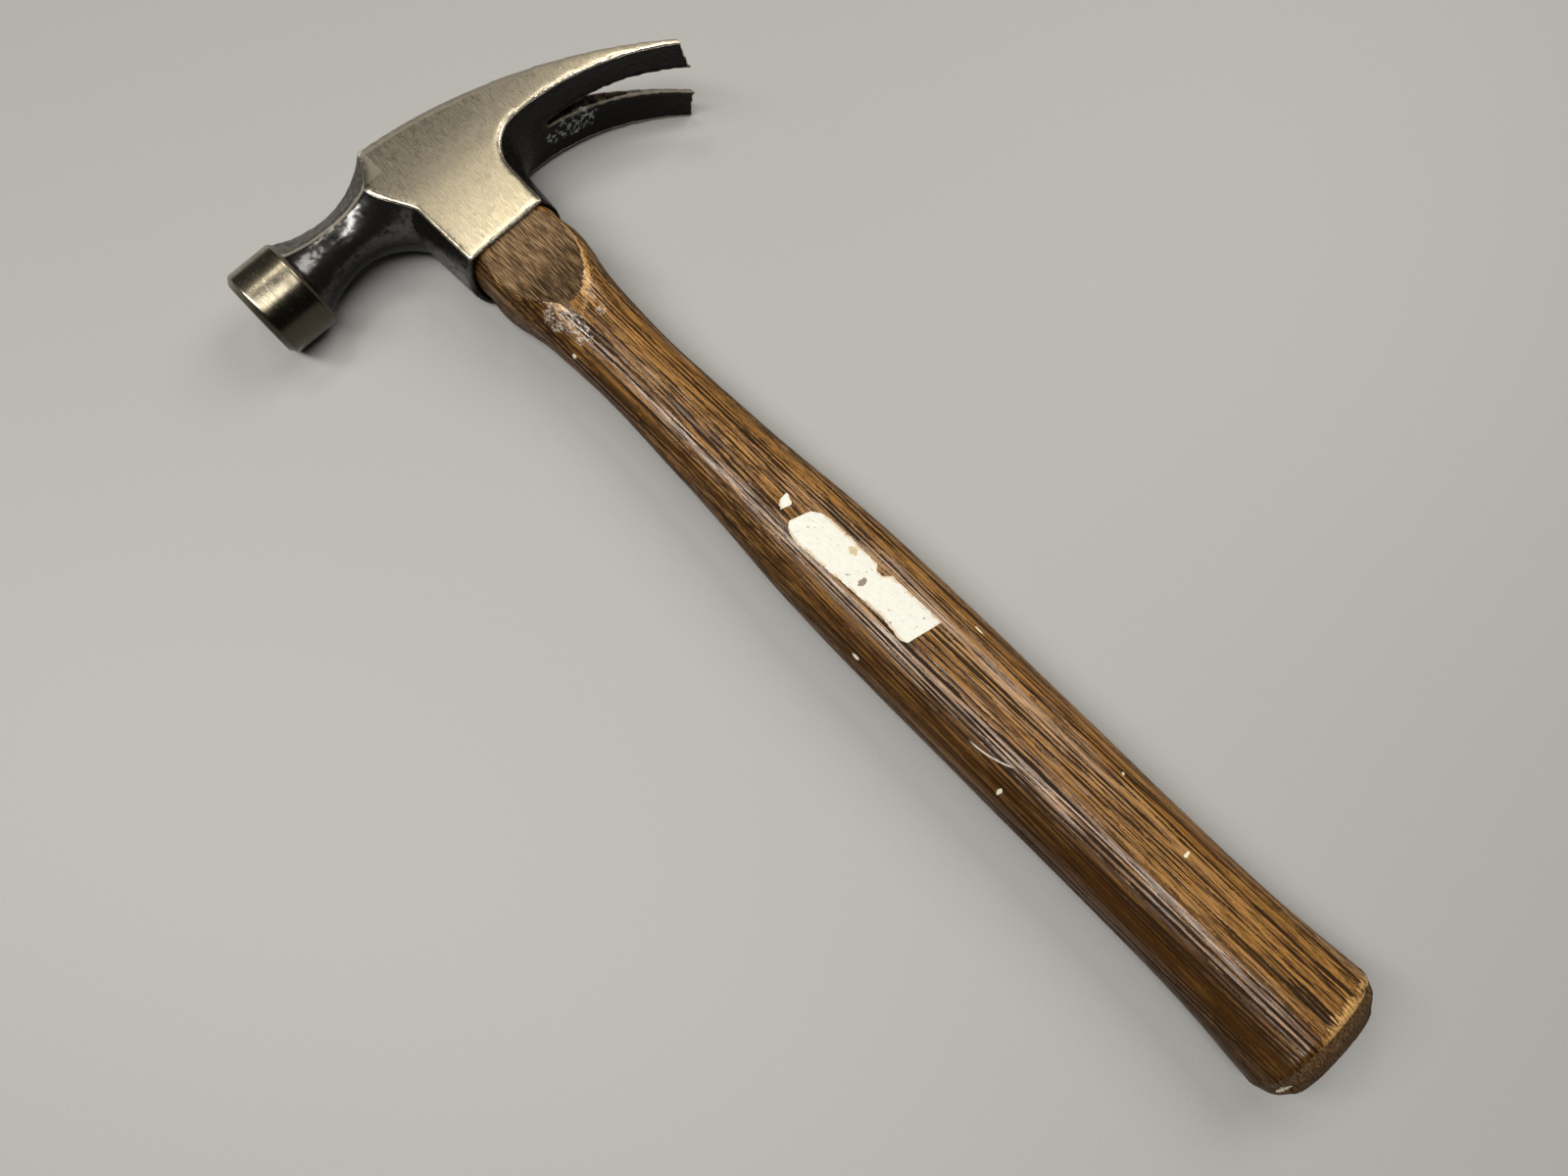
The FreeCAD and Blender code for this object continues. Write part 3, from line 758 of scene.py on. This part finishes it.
def level_cut(triangles, height):
    """Segments, as starts and ends of X and Z, where the triangles cross the level plane."""
    above = triangles[:, :, 1] > height
    crossing = triangles[above.any(axis=1) & ~above.all(axis=1)]
    above = crossing[:, :, 1] > height
    lone = np.where(above.sum(axis=1) == 1, above.argmax(axis=1), (~above).argmax(axis=1))
    index = np.arange(len(crossing))
    peak = crossing[index, lone]
    ends = []
    for step in (1, 2):
        other = crossing[index, (lone + step) % 3]
        share = (height - peak[:, 1]) / (other[:, 1] - peak[:, 1])
        ends.append((peak + share[:, None] * (other - peak))[:, (0, 2)])
    return ends


def handle_rows():
    """Heights of the handle's rows, closest at the butt and the flats."""
    top = crown_y(0) - TOP_RECESS - 4
    edge, flats, collar = BUTT_Y + BUTT_EDGE + 1.5, COLLAR_Y - FLAT_BELOW, COLLAR_Y - 0.3
    return np.concatenate([
        np.linspace(BUTT_Y + 0.05, edge, 22, endpoint=False),
        np.linspace(edge, flats, 92, endpoint=False),
        np.linspace(flats, collar, 40, endpoint=False),
        np.linspace(collar, top, 13),
    ])


def growth(points, ring_width):
    """Which growth ring of the wood each point is in, counted along X, and how bold that ring's
    pores are, from 0 to 1. The rings are flat layers across X, tilted a little, and bent by three
    sizes of noise drawn out along Y. Boldness is noise over the whole ring count and Y."""
    x, y, z = points.T
    slow = np.stack([x / 9, y / 90, z / 8], axis=1)
    quick = np.stack([x / 2.9, y / 45, z / 3], axis=1)
    uneven = np.stack([x / 1.3, y / 70, z / 2.2], axis=1)
    bend = lattice_noise(slow, 61) * 1.1 + lattice_noise(quick, 62) * 0.42
    ring = (x + 0.15 * z + 0.010 * y) / ring_width + bend + lattice_noise(uneven, 63) * 0.42
    key = np.stack([np.floor(ring) * 1.37 + 0.5, y / 40, z / 25], axis=1)
    return ring, np.clip(0.5 + 0.62 * layered_noise(key, 64, 2), 0, 1)


def cut_share(points, ring, ring_width):
    """1 where the surface cuts the rings squarely, 0 where it runs along them: how fast the ring
    count changes round the handle, against its fastest."""
    ahead, back = np.roll(points, -1, axis=1), np.roll(points, 1, axis=1)
    walked = np.linalg.norm(ahead - back, axis=2)
    change = np.abs(np.roll(ring, -1, axis=1) - np.roll(ring, 1, axis=1))
    return blurred_grid(np.clip(change * ring_width / walked, 0, 1), 4)


def make_handle(wood):
    """The handle: the CAD outline at every height, eased over its edges, with a groove along each
    growth ring that the surface cuts, a worn butt with three chips, and closed ends."""
    heights = handle_rows()
    rows = len(heights)
    phi = np.linspace(0, 2 * np.pi, COLUMNS, endpoint=False)
    turns = np.arctan2(WOOD_FLATNESS * np.sin(phi), np.cos(phi))
    radii = blurred_grid(wood_outline(heights, turns), 1)
    soft = blurred_grid(radii, 6)
    y = np.repeat(heights[:, None], COLUMNS, axis=1)
    turn = np.repeat(turns[None], rows, axis=0)
    flat_z = (radii * np.sin(turn))[np.searchsorted(heights, COLLAR_Y - 4)].max()
    over = blurred_grid(np.abs(soft * np.sin(turn)) / flat_z, 2)
    flat_rows = ramp(y, COLLAR_Y - FLAT_BELOW, COLLAR_Y - FLAT_BELOW + 1.0)
    flat = blurred_grid(flat_rows * ramp(over, 0.950, 0.985), 3)
    inside = ramp(y, COLLAR_Y - 0.8, COLLAR_Y + 0.5).ravel()
    grid = np.stack([radii * np.cos(turn), y, radii * np.sin(turn)], axis=-1)
    points = grid.reshape(-1, 3)
    outward = np.stack([np.cos(turn) * WOOD_FLATNESS, 0 * y, np.sin(turn)], axis=-1)
    outward = outward / np.linalg.norm(outward, axis=2)[..., None]
    ring, bold = (item.reshape(rows, COLUMNS) for item in growth(points, wood.ring / MM))
    values = {"ring": ring, "bold": bold, "cut": cut_share(grid, ring, wood.ring / MM),
              "flat": flat, "brim": blurred_grid(flat, 36)}
    depth = wood_depth(points, {key: item.ravel() for key, item in values.items()}, wood)
    depth = depth * (1 - inside) + EYE_DEPTH * inside
    points = points - outward.reshape(-1, 3) * depth[:, None]
    return closed_handle(points.reshape(rows, COLUMNS, 3), values, wood)


def wood_depth(points, values, wood):
    """How deep each point lies under the CAD wood: grooves where the fraction of the ring count is
    near a half, wider in bold rings, a few hundredths of waviness, saw marks on the flats, a coarse
    butt, and the chips."""
    butt = ramp(points[:, 1], BUTT_Y + BUTT_EDGE + 0.5, BUTT_Y + BUTT_EDGE - 1.0)
    fraction = values["ring"] - np.floor(values["ring"])
    line = ramp(1 - np.abs(2 * fraction - 1) + 0.45 * values["bold"], 1.02, 1.22)
    groove = line * values["cut"] * (wood.groove / MM)
    waves = 0.05 * (1 + layered_noise(points / np.array([5.0, 14.0, 5.0]), 81, 2))
    saw = 0.10 + 0.07 * lattice_noise(points / np.array([0.9, 3.5, 0.9]), 82)
    coarse = 0.10 * (1 + layered_noise(points / np.array([1.2, 2.0, 1.2]), 83, 2))
    depth = groove * (1 - 0.5 * values["flat"]) + waves + values["flat"] * saw
    return np.maximum(depth + butt * coarse + chip_depth(points), 0)


def chip_depth(points):
    """Splinters missing from the butt's edge: ragged oval dips about their centres."""
    depth = np.zeros(len(points))
    for centre, size, deep in CHIPS:
        away = np.linalg.norm((points - np.array(centre)) / np.array(size), axis=1)
        away = away + 0.25 * lattice_noise(points / 1.1, 91)
        depth = depth + deep * ramp(away, 1.0, 0.25)
    return depth


def closed_handle(grid, values, wood):
    """Adds the butt's and the top's rings, which shrink to a pole each, and makes the mesh. The
    top's rings lie just under the crown's arc, dressed a little unevenly."""
    butt_rings = [grid[0] * np.array([share, 1.0, share]) for share in BUTT_SHARES]
    top_rings = [grid[-1] * np.array([share, 1.0, share]) for share in TOP_SHARES]
    for ring in top_rings:
        uneven = 0.15 * (1 + lattice_noise(ring / 1.5, 95))
        ring[:, 1] = crown_y(ring[:, 0]) - TOP_RECESS - uneven
    whole = np.concatenate([butt_rings, grid, top_rings])
    points = whole.reshape(-1, 3)
    poles = np.array([points[:COLUMNS].mean(axis=0), points[-COLUMNS:].mean(axis=0)])
    points = np.concatenate([points, poles])
    ring, bold = growth(points, wood.ring / MM)
    joined = {"ring": ring, "bold": bold}
    for key, end in (("cut", 1.0), ("flat", 0.0), ("brim", 0.0)):
        padded = np.pad(values[key], ((len(butt_rings), len(top_rings)), (0, 0)),
                        constant_values=end)
        joined[key] = np.append(padded, (end, end))
    return make_mesh("handle_wood", points, closed_faces(len(whole), COLUMNS), joined)


WOOD_PATTERNS = {
    "slow": ((0.12, 0.012, 0.12), 3.0, 0.6),
    "streak": ((0.8, 0.020, 0.8), 4.0, 0.65),
    "ribbon": ((1.9, 0.035, 1.9), 3.0, 0.7),
    "fibre": ((3.2, 0.075, 3.2), 4.0, 0.7),
    "fleck": ((1.1, 0.22, 1.1), 5.0, 0.7),
    "speck": ((3.2, 1.0, 3.2), 3.0, 0.6),
    "dash": ((0.9, 0.075, 0.9), 2.0, 0.5, (3.0, 0.0, 7.0)),
    "hair": ((3.3, 0.17, 3.3), 4.0, 0.7),
    "tooth": ((1.5, 0.28, 1.5), 3.0, 0.6),
    "island": ((0.22, 0.12, 0.22), 2.0, 0.5, (0.0, 5.0, 0.0)),
    "saw": ((2.6, 0.5, 2.6), 3.0, 0.65),
    "wisp": ((2.2, 0.6, 2.2), 5.0, 0.75),
    "shine": ((1.3, 0.06, 1.3), 4.0, 0.65),
}
# Colour of the painted shade on the handle's -X flank
FLANK_SHADE_BROWN = (0.030, 0.0115, 0.0012)
FLAT_DARK, FLAT_LIGHT = (0.030, 0.018, 0.009), (0.33, 0.215, 0.115)
END_DARK, END_LIGHT = (0.036, 0.020, 0.010), (0.15, 0.088, 0.042)
# Cream of the scuffs below the flats, partly painted highlight
SCUFF_AND_SHEEN_CREAM = (0.66, 0.61, 0.53)
OLD_PAINT = (0.74, 0.70, 0.54)
SCRATCH_Y, SCRATCH_X, SCRATCH_BEND = -221.0, -10.0, 0.02    # a parabola's end, and how it opens


def wood_finish(wood):
    """Dark stained open-grained wood under worn varnish: a dark line along each growth ring where
    the surface cuts it and short flecks where it doesn't, rough and dull on the flats, with bare
    wood where the edges are rubbed."""
    look = Finish("stained open-grained wood")
    ring, cut, flat, brim, bold = look.attributes("ring", "cut", "flat", "brim", "bold")
    n = look.patterns(WOOD_PATTERNS)
    # The dark lines: the fraction of the ring count, peaked at a half
    peak = 1 - ((ring + n.fibre * 0.5).math("FRACT") * 2 - 1).math("ABSOLUTE")
    line = peak + bold + n.speck * 0.7 + n.fibre * 1.2 + n.dash * 1.7
    line = line.rise(1.18, 1.34) * cut.rise(0.2, 0.65)
    thread = (n.fibre + n.slow * 0.3).rise(0.03, 0.10) * 0.85
    mottle = (n.fleck + n.slow * 0.7).rise(-0.04, 0.06) * cut.rise(0.75, 0.3)
    dark = either(line, thread, mottle * 0.85)
    tone_and_lit_side = n.slow * 1.8 + n.streak * 2.6 + n.ribbon * 2.6 + n.fleck
    # Random tone, plus painted light that makes the +X side more amber
    tone_and_lit_side = tone_and_lit_side + look.x.rise(-10.0, 8.0) * 0.40 + 0.34
    colour = look.mix(tone_and_lit_side.rise(0.0, 1.0), wood.brown, wood.amber)
    colour = look.mix(dark * 0.93, colour, wood.stain)
    # Painted shade: the -X flank darkened, most towards the butt
    flank_shade = look.x.rise(-3.0, -12.0) * (look.y.rise(-110.0, -290.0) * 0.6 + 0.4)
    colour = look.mix(flank_shade * 0.75, colour, FLANK_SHADE_BROWN)
    # The flats: the varnish is gone, the fibres stand up grey, and the rim is rubbed pale
    low = look.y.rise(COLLAR_Y - 12.0, COLLAR_Y - 20.0)
    grey = look.mix((n.hair - low * 0.07).rise(-0.10, 0.14), FLAT_DARK, FLAT_LIGHT)
    bare = (flat + n.tooth * 1.2).rise(0.42, 0.55)
    colour = look.mix(bare * 0.94, colour, grey)
    border = both(
        (brim + n.tooth * 0.9).rise(0.14, 0.24), brim.rise(0.01, 0.06), 1 - bare,
        either(n.island.rise(-0.08, 0.10), look.x.rise(1.0, 6.0)),
        look.y.rise(COLLAR_Y - 4.0, COLLAR_Y - 12.0))
    colour = look.mix(border * 0.9 * n.ribbon.rise(-0.12, 0.0), colour, wood.pale)
    # The butt: dark end grain, its upper edge rubbed through to bare wood
    above = look.y - (BUTT_Y + BUTT_EDGE - 1.0)
    end = (above + n.speck * 0.9).rise(0.3, -0.3)
    colour = look.mix(end * 0.95, colour, look.mix(n.saw.rise(-0.15, 0.20), END_DARK, END_LIGHT))
    reach = above - n.tooth * 9.0 - look.x.rise(-3.0, 3.0) * 1.6 + look.x.rise(6.0, 14.0)
    rubbed = both(reach.rise(1.0, 0.2), above.rise(-0.5, 0.1),
                  either(look.x.rise(-5.0, 2.0), look.z.rise(-2.0, -8.0) * 0.7))
    rubbed = rubbed * (1 - both(line, n.fibre.rise(-0.1, 0.1)) * 0.6)
    colour = look.mix(rubbed * 0.9, colour, wood.pale)
    # Scuffs that are partly painted highlight, one long bent scratch, and spots of old paint
    scuffs_and_sheen = both(either(*(look.spot(*row) for row in SCUFFS_AND_SHEEN)), n.wisp.rise(-0.02, 0.12))
    climb = look.y - SCRATCH_Y
    bow = (climb * climb * SCRATCH_BEND - look.x + SCRATCH_X).math("ABSOLUTE")
    scratch = both(
        bow.rise(0.30, 0.10), look.y.rise(-233.0, -231.0), look.y.rise(-220.0, -223.0))
    scuffs_and_sheen = either(scuffs_and_sheen, scratch * look.z.rise(2.0, 5.0))
    spots = either(*(look.spot(*row, PAINT_RAGGED) for row in PAINT_SPOTS))
    colour = look.mix(scuffs_and_sheen * 0.75, colour, SCUFF_AND_SHEEN_CREAM)
    colour = look.mix(spots * 0.92, colour, OLD_PAINT)
    raw = either(bare, end)
    rough = n.shine.rise(-0.06, 0.10) * 0.16 + dark * 0.20 + n.speck * 0.14 + 0.34
    rough = rough + raw * 0.22 + scuffs_and_sheen * 0.10
    height = n.fibre * 0.06 - line * 0.13 - thread * 0.05 + n.speck * 0.02 + spots * 0.05
    height = height + n.fleck * 0.07 + n.saw * end * 0.15 + n.hair * bare * 0.30
    varnish = (1 - raw) * (1 - dark * 0.95) * (cut.rise(0.3, 0.85) * 0.8 + 0.2)
    varnish = varnish * (n.shine.rise(0.12, -0.08) * 0.6 + 0.4)
    return look.finish(colour, rough, height, Coat_Weight=varnish, Coat_Roughness=0.24,
                       Specular_IOR_Level=0.06)


# ---- The label

TEAR_PITCH = 0.7                        # length of the torn edge's coarsest teeth
TEAR_DEPTH = 0.11
RIM_POINTS = 8                          # the sheet's rim is this many points wide
UNDER_SINK = 0.05                       # how far the sheet's underside lies in the wood
# Outlines from the head's end down: X and Y
LABEL = {
    "left": ((-2.7, -149.7), (-4.1, -150.6), (-5.2, -153.0), (-5.6, -156.0), (-4.0, -178.0),
             (-3.8, -184.0), (-4.8, -191.4), (-4.0, -193.2), (5.9, -195.4)),
    "right": ((-2.6, -149.7), (2.9, -151.6), (4.7, -154.0), (5.4, -157.0), (5.3, -173.6),
              (4.0, -174.6), (3.7, -176.4), (4.4, -177.3), (5.7, -178.4), (5.95, -195.4)),
    "rows": 300, "columns": 60, "lift": 0.10, "curl": 0.10, "seed": 101,
}
SCRAP = {
    "left": ((1.8, -143.7), (-0.6, -143.9), (-1.6, -144.8), (-2.3, -146.0), (0.6, -146.9)),
    "right": ((1.9, -143.7), (2.1, -144.6), (1.6, -145.6), (1.2, -146.4), (0.8, -146.9)),
    "rows": 40, "columns": 30, "lift": 0.12, "curl": 0.5, "seed": 131,
}
PAPER_PATTERNS = {
    "fibre": ((2.2, 0.5, 2.2), 4.0, 0.65),
    "cloud": ((0.35, 0.2, 0.35), 3.0, 0.5),
    "speckle": ((1.1, 0.8, 1.1), 3.0, 0.55),
    "glue": ((0.4, 0.25, 0.4), 2.0, 0.5),
}
SPECKLE_BROWN, TAN, HOLE_BROWN = (0.16, 0.09, 0.04), (0.42, 0.28, 0.10), (0.13, 0.075, 0.03)
HOLE = ((-0.9, -174.3, 12.0), (1.3, 0.9, 5.0), 1.5)
NICK = ((-4.4, -184.6, 12.0), (0.6, 0.9, 5.0), 1.3)
TAN_SPOT = ((3.3, -166.8, 12.0), (1.0, 1.5, 5.0), 1.2)


def upper_surface(x, y):
    """Height of the handle's upper side over points of X and Y, from the CAD outline: a table of
    heights over an even net, and a blend of the four entries around each point."""
    heights = np.linspace(y.min() - 1, y.max() + 1, 60)
    turns = np.linspace(0.15, np.pi - 0.15, 160)
    radii = wood_outline(heights, turns)
    columns = np.linspace(-10.0, 10.0, 81)
    table = np.array([
        np.interp(columns, (radius * np.cos(turns))[::-1], (radius * np.sin(turns))[::-1])
        for radius in radii])
    row = (y - heights[0]) / (heights[1] - heights[0])
    column = (x - columns[0]) / (columns[1] - columns[0])
    low_row = np.clip(row.astype(int), 0, len(heights) - 2)
    low_column = np.clip(column.astype(int), 0, len(columns) - 2)
    up, along = row - low_row, column - low_column
    total = 0
    for step, turn in itertools.product((0, 1), repeat=2):
        share = (up if step else 1 - up) * (along if turn else 1 - along)
        total = total + table[low_row + step, low_column + turn] * share
    return total


def torn_sheet(name, left, right, rows, columns, lift, curl, seed):
    """A torn sheet on the handle: each row runs from the left outline to the right one, both bent
    by fine noise, and the sheet is doubled into a closed skin of the paper's thickness."""
    heights = np.linspace(left[0][1], left[-1][1], rows)
    low = np.interp(-heights, [-y for _, y in left], [x for x, _ in left])
    high = np.interp(-heights, [-y for _, y in right], [x for x, _ in right])
    tear = np.stack([heights / TEAR_PITCH, 0 * heights, 0 * heights], axis=1)
    room = ramp(high - low, 0.0, 1.5) * TEAR_DEPTH
    low = low + room * layered_noise(tear, seed, 3)
    high = np.maximum(high + room * layered_noise(tear, seed + 10, 3), low + 0.05)
    share = np.linspace(0, 1, columns)
    x = low[:, None] + (high - low)[:, None] * share
    y = np.repeat(heights[:, None], columns, axis=1)
    z = upper_surface(x.ravel(), y.ravel()).reshape(x.shape)
    end = np.minimum(np.arange(rows), rows - 1 - np.arange(rows))[:, None] / RIM_POINTS
    side = np.minimum(share, 1 - share)[None] * columns / RIM_POINTS
    rim = np.clip(np.minimum(side, end), 0, 1)
    wave = layered_noise(np.stack([x / 3, y / 5, 0 * x], axis=-1).reshape(-1, 3), seed + 20, 2)
    wave = wave.reshape(x.shape)
    top = z + lift + curl * (1 - rim) * (0.5 + 0.5 * wave) + 0.02 * wave
    skin = np.concatenate([
        np.stack([x, y, level], axis=-1).reshape(-1, 3) for level in (top, z - UNDER_SINK)])
    return make_mesh(name, skin, doubled_faces(rows, columns), {"rim": np.tile(rim.ravel(), 2)})


def doubled_faces(rows, columns):
    """Faces of a closed skin: an upper grid, an under grid and the four sides between them."""
    row, column = np.meshgrid(np.arange(rows - 1), np.arange(columns - 1), indexing="ij")
    corner = (row * columns + column).ravel()
    upper = np.stack([corner, corner + columns, corner + columns + 1, corner + 1], axis=1)
    under = upper[:, ::-1] + rows * columns
    border = np.concatenate([
        np.arange(columns - 1), np.arange(rows - 1) * columns + columns - 1,
        (rows - 1) * columns + np.arange(columns - 1, 0, -1),
        np.arange(rows - 1, 0, -1) * columns])
    after = np.roll(border, -1)
    sides = np.stack([border, after, after + rows * columns, border + rows * columns], axis=1)
    return [upper, under, sides]


def paper_finish(paper):
    """Off-white paper, rubbed along the handle, spotted brown and yellowed at its torn edges."""
    look = Finish("torn paper")
    rim, = look.attributes("rim")
    n = look.patterns(PAPER_PATTERNS)
    yellow = both((rim + n.fibre * 1.6).rise(0.70, 0.30), n.glue.rise(-0.14, 0.02))
    holes = either(look.spot(*HOLE), look.spot(*NICK))
    colour = look.mix(
        n.fibre * 1.9 + n.cloud * 0.3 + 0.15, paper.sheet, shade(paper.sheet, 0.80))
    colour = look.mix(yellow * 0.6, colour, paper.stain)
    colour = look.mix(n.speckle.rise(0.16, 0.19) * 0.75, colour, SPECKLE_BROWN)
    colour = look.mix(look.spot(*TAN_SPOT) * 0.7, colour, TAN)
    colour = look.mix(holes * 0.85, colour, HOLE_BROWN)
    return look.finish(colour, n.fibre * 0.2 + 0.62, n.fibre * 0.03 - holes * 0.08)


# ---- The wedges

BLOT = ((0.9, 0.9, 0.9), 4.0, 0.65)
WEDGE_FIBRE = ((2.5, 0.15, 2.5), 4.0, 0.65)
WEDGE_STEEL, WEDGE_RUST = (0.18, 0.16, 0.14), (0.09, 0.045, 0.02)
WEDGE_GREY = (0.07, 0.04, 0.02)


def wedge_steel_finish():
    """Dark, hammered, lightly rusted steel."""
    look = Finish("wedge steel")
    blot = look.noise(*BLOT)
    colour = look.mix(blot.rise(-0.15, 0.20), WEDGE_STEEL, WEDGE_RUST)
    return look.finish(colour, blot * 0.3 + 0.57, blot * 0.05, Metallic=0.7 - blot * 0.4)


def wedge_wood_finish(wood):
    """Bare end grain of the wooden wedge, greyed by handling."""
    look = Finish("wedge wood")
    fibre = look.noise(*WEDGE_FIBRE)
    colour = look.mix(fibre.rise(-0.20, 0.25), wood.amber, WEDGE_GREY)
    return look.finish(colour, fibre * 0.2 + 0.7, fibre * 0.06)


# ---- The stage

FLOOR_HALF = 3.0                        # half the floor's side, in metres
FLOOR_SPECKLE = ((0.9, 0.9, 0.9), 3.0, 0.6)
SENSOR_WIDTH = 36.0
NEAREST = 0.01
# Lamps: place, size, power, colour, and how far the second side is turned from Y towards -X
LAMPS = {
    "key": ((0.60, 0.05, 0.70), (0.50, 0.50), 4.2, (1.0, 0.96, 0.90), 0.0),
    "strip": ((-0.31, 0.13, 0.95), (0.22, 1.26), 12.5, (1.0, 0.97, 0.92), 0.47),
    "far": ((0.15, 0.54, 0.90), (0.30, 0.18), 1.5, (1.0, 0.94, 0.83), 0.0),
}
ROOM_COLOUR = (1.0, 0.98, 0.95, 1.0)
ROOM_LIGHT = 0.035


def resting_plane():
    """A point, in metres, and the normal of the floor that the hammer lies on, under the lowest
    points of its claws, its bell and its butt."""
    solids = [frame["nodes"][node].data for node in ("head", "handle")]
    points = np.concatenate([bench_points(solid) for solid in solids])
    x, y, _ = points.T
    groups = [points[x > 40], points[x < -45], points[y < BUTT_Y + 30]]
    normal = np.array([0.0, 0.0, 1.0])
    for _ in range(4):
        feet = [group[(group @ normal).argmin()] for group in groups]
        normal = np.cross(feet[1] - feet[0], feet[2] - feet[0])
        normal = normal / np.linalg.norm(normal) * np.sign(normal[2])
    lowest = points[(points @ normal).argmin()]
    return Vector(lowest) * MM + BENCH, Vector(normal)


def make_floor(colour):
    """A plain floor square to the resting plane."""
    foot, normal = resting_plane()
    east = Vector((1, 0, 0)).cross(normal).cross(normal) * -1
    east.normalize()
    north = normal.cross(east)
    corners = [foot + (east * a + north * b) * FLOOR_HALF for a, b in
               ((-1, -1), (1, -1), (1, 1), (-1, 1))]
    mesh = bpy.data.meshes.new("floor")
    mesh.from_pydata([tuple(c) for c in corners], [], [(0, 1, 2, 3)])
    mesh.update()
    floor = linked("floor", mesh)
    look = Finish("floor")
    speckle = look.noise(*FLOOR_SPECKLE)
    mottled = look.mix(speckle * 0.5 + 0.5, colour, shade(colour, 0.93))
    floor.data.materials.append(look.finish(mottled, 0.55, speckle * 0.05))


def facing(place, right, up, back):
    """The matrix of something at that place with those directions along its X, Y and Z."""
    return Matrix.Translation(place) @ Matrix((right, up, back)).transposed().to_4x4()


def make_camera(stage):
    """The camera, level direction heading up in its picture."""
    eye, target = Vector(stage.eye), Vector(stage.target)
    forward = (target - eye).normalized()
    ahead = Vector((math.cos(stage.heading), math.sin(stage.heading), 0))
    right = forward.cross(ahead).normalized()
    data = bpy.data.cameras.new("camera")
    data.sensor_width = SENSOR_WIDTH
    data.lens = stage.lens
    data.clip_start = NEAREST
    camera = linked("camera", data)
    camera.matrix_world = facing(eye, right, right.cross(forward), -forward)
    bpy.context.scene.camera = camera


def soft_light(name, place, size, power, colour, spin):
    """A rectangular lamp over the hammer that faces down at it."""
    data = bpy.data.lights.new(name, "AREA")
    data.shape = "RECTANGLE"
    data.size, data.size_y = size
    data.energy = power
    data.color = colour
    back = Vector(place).normalized()
    across = Vector((-math.sin(spin), math.cos(spin), 0)).cross(back).normalized()
    linked(name, data).matrix_world = facing(Vector(place), across, back.cross(across), back)


def make_world():
    """Even light from all round."""
    world = bpy.data.worlds.new("room")
    world.use_nodes = True
    backdrop = world.node_tree.nodes["Background"]
    backdrop.inputs["Color"].default_value = ROOM_COLOUR
    backdrop.inputs["Strength"].default_value = ROOM_LIGHT
    bpy.context.scene.world = world


# ---- Operators

class HAMMER_OT_stage(bpy.types.Operator):
    """Make the camera, the floor and the lights"""
    bl_idname = "hammer.stage"
    bl_label = "Stage"

    def execute(self, context):
        stage = context.scene.hammer_stage
        context.scene.view_settings.view_transform = "Standard"
        make_camera(stage)
        make_floor(tuple(stage.floor))
        for name, lamp in LAMPS.items():
            soft_light(name, *lamp)
        make_world()
        return {"FINISHED"}


class HAMMER_OT_head(bpy.types.Operator):
    """Make the forging and the bell that stand for the CAD head"""
    bl_idname = "hammer.head"
    bl_label = "Head"

    def execute(self, context):
        steel = context.scene.hammer_steel
        forging = make_forging(steel)
        forging.data.materials.append(forging_finish(steel))
        bell = make_bell()
        bell.data.materials.append(bell_finish(steel))
        for piece in (forging, bell):
            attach(piece, "root")
            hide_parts("head")
        return {"FINISHED"}


class HAMMER_OT_handle(bpy.types.Operator):
    """Make the wooden handle that stands for the CAD one"""
    bl_idname = "hammer.handle"
    bl_label = "Handle"

    def execute(self, context):
        wood = context.scene.hammer_wood
        handle = make_handle(wood)
        handle.data.materials.append(wood_finish(wood))
        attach(handle, "root")
        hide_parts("handle")
        return {"FINISHED"}


class HAMMER_OT_label(bpy.types.Operator):
    """Make the torn label and its loose scrap"""
    bl_idname = "hammer.label"
    bl_label = "Label"

    def execute(self, context):
        finish = paper_finish(context.scene.hammer_paper)
        label = torn_sheet("label_paper", **LABEL)
        scrap = torn_sheet("label_scrap_paper", **SCRAP)
        for piece, node in ((label, "label"), (scrap, "label_scrap")):
            piece.data.materials.append(finish)
            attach(piece, "root")
            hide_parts(node)
        return {"FINISHED"}


class HAMMER_OT_wedges(bpy.types.Operator):
    """Give the CAD wedges their finish"""
    bl_idname = "hammer.wedges"
    bl_label = "Wedges"

    def execute(self, context):
        steel = wedge_steel_finish()
        timber = wedge_wood_finish(context.scene.hammer_wood)
        finishes = {"wooden_wedge": timber, "steel_wedge_front": steel, "steel_wedge_rear": steel}
        for node, finish in finishes.items():
            mesh = frame["nodes"][node].data
            mesh.materials.clear()
            mesh.materials.append(finish)
        return {"FINISHED"}


class HAMMER_PT_panel(bpy.types.Panel):
    """The hammer's operators and settings"""
    bl_label = "Claw hammer"
    bl_space_type = "VIEW_3D"
    bl_region_type = "UI"
    bl_category = "Hammer"

    def draw(self, context):
        layout = self.layout
        for operator in OPERATORS:
            layout.operator(operator.bl_idname)
        for settings in GROUPS:
            group = getattr(context.scene, settings)
            column = layout.column()
            for key in group.__annotations__:
                column.prop(group, key)


OPERATORS = (HAMMER_OT_stage, HAMMER_OT_head, HAMMER_OT_handle, HAMMER_OT_label, HAMMER_OT_wedges)
GROUPS = {
    "hammer_steel": HammerSteel,
    "hammer_wood": HammerWood,
    "hammer_paper": HammerPaper,
    "hammer_stage": HammerStage,
}
CLASSES = (*GROUPS.values(), *OPERATORS, HAMMER_PT_panel)


def register():
    for kind in CLASSES:
        bpy.utils.register_class(kind)
    for key, group in GROUPS.items():
        setattr(bpy.types.Scene, key, bpy.props.PointerProperty(type=group))


def unregister():
    for key in GROUPS:
        delattr(bpy.types.Scene, key)
    for kind in reversed(CLASSES):
        bpy.utils.unregister_class(kind)


def main():
    register()
    bpy.ops.hammer.stage()
    bpy.ops.hammer.head()
    bpy.ops.hammer.handle()
    bpy.ops.hammer.label()
    bpy.ops.hammer.wedges()


if __name__ == "__main__":
    main()
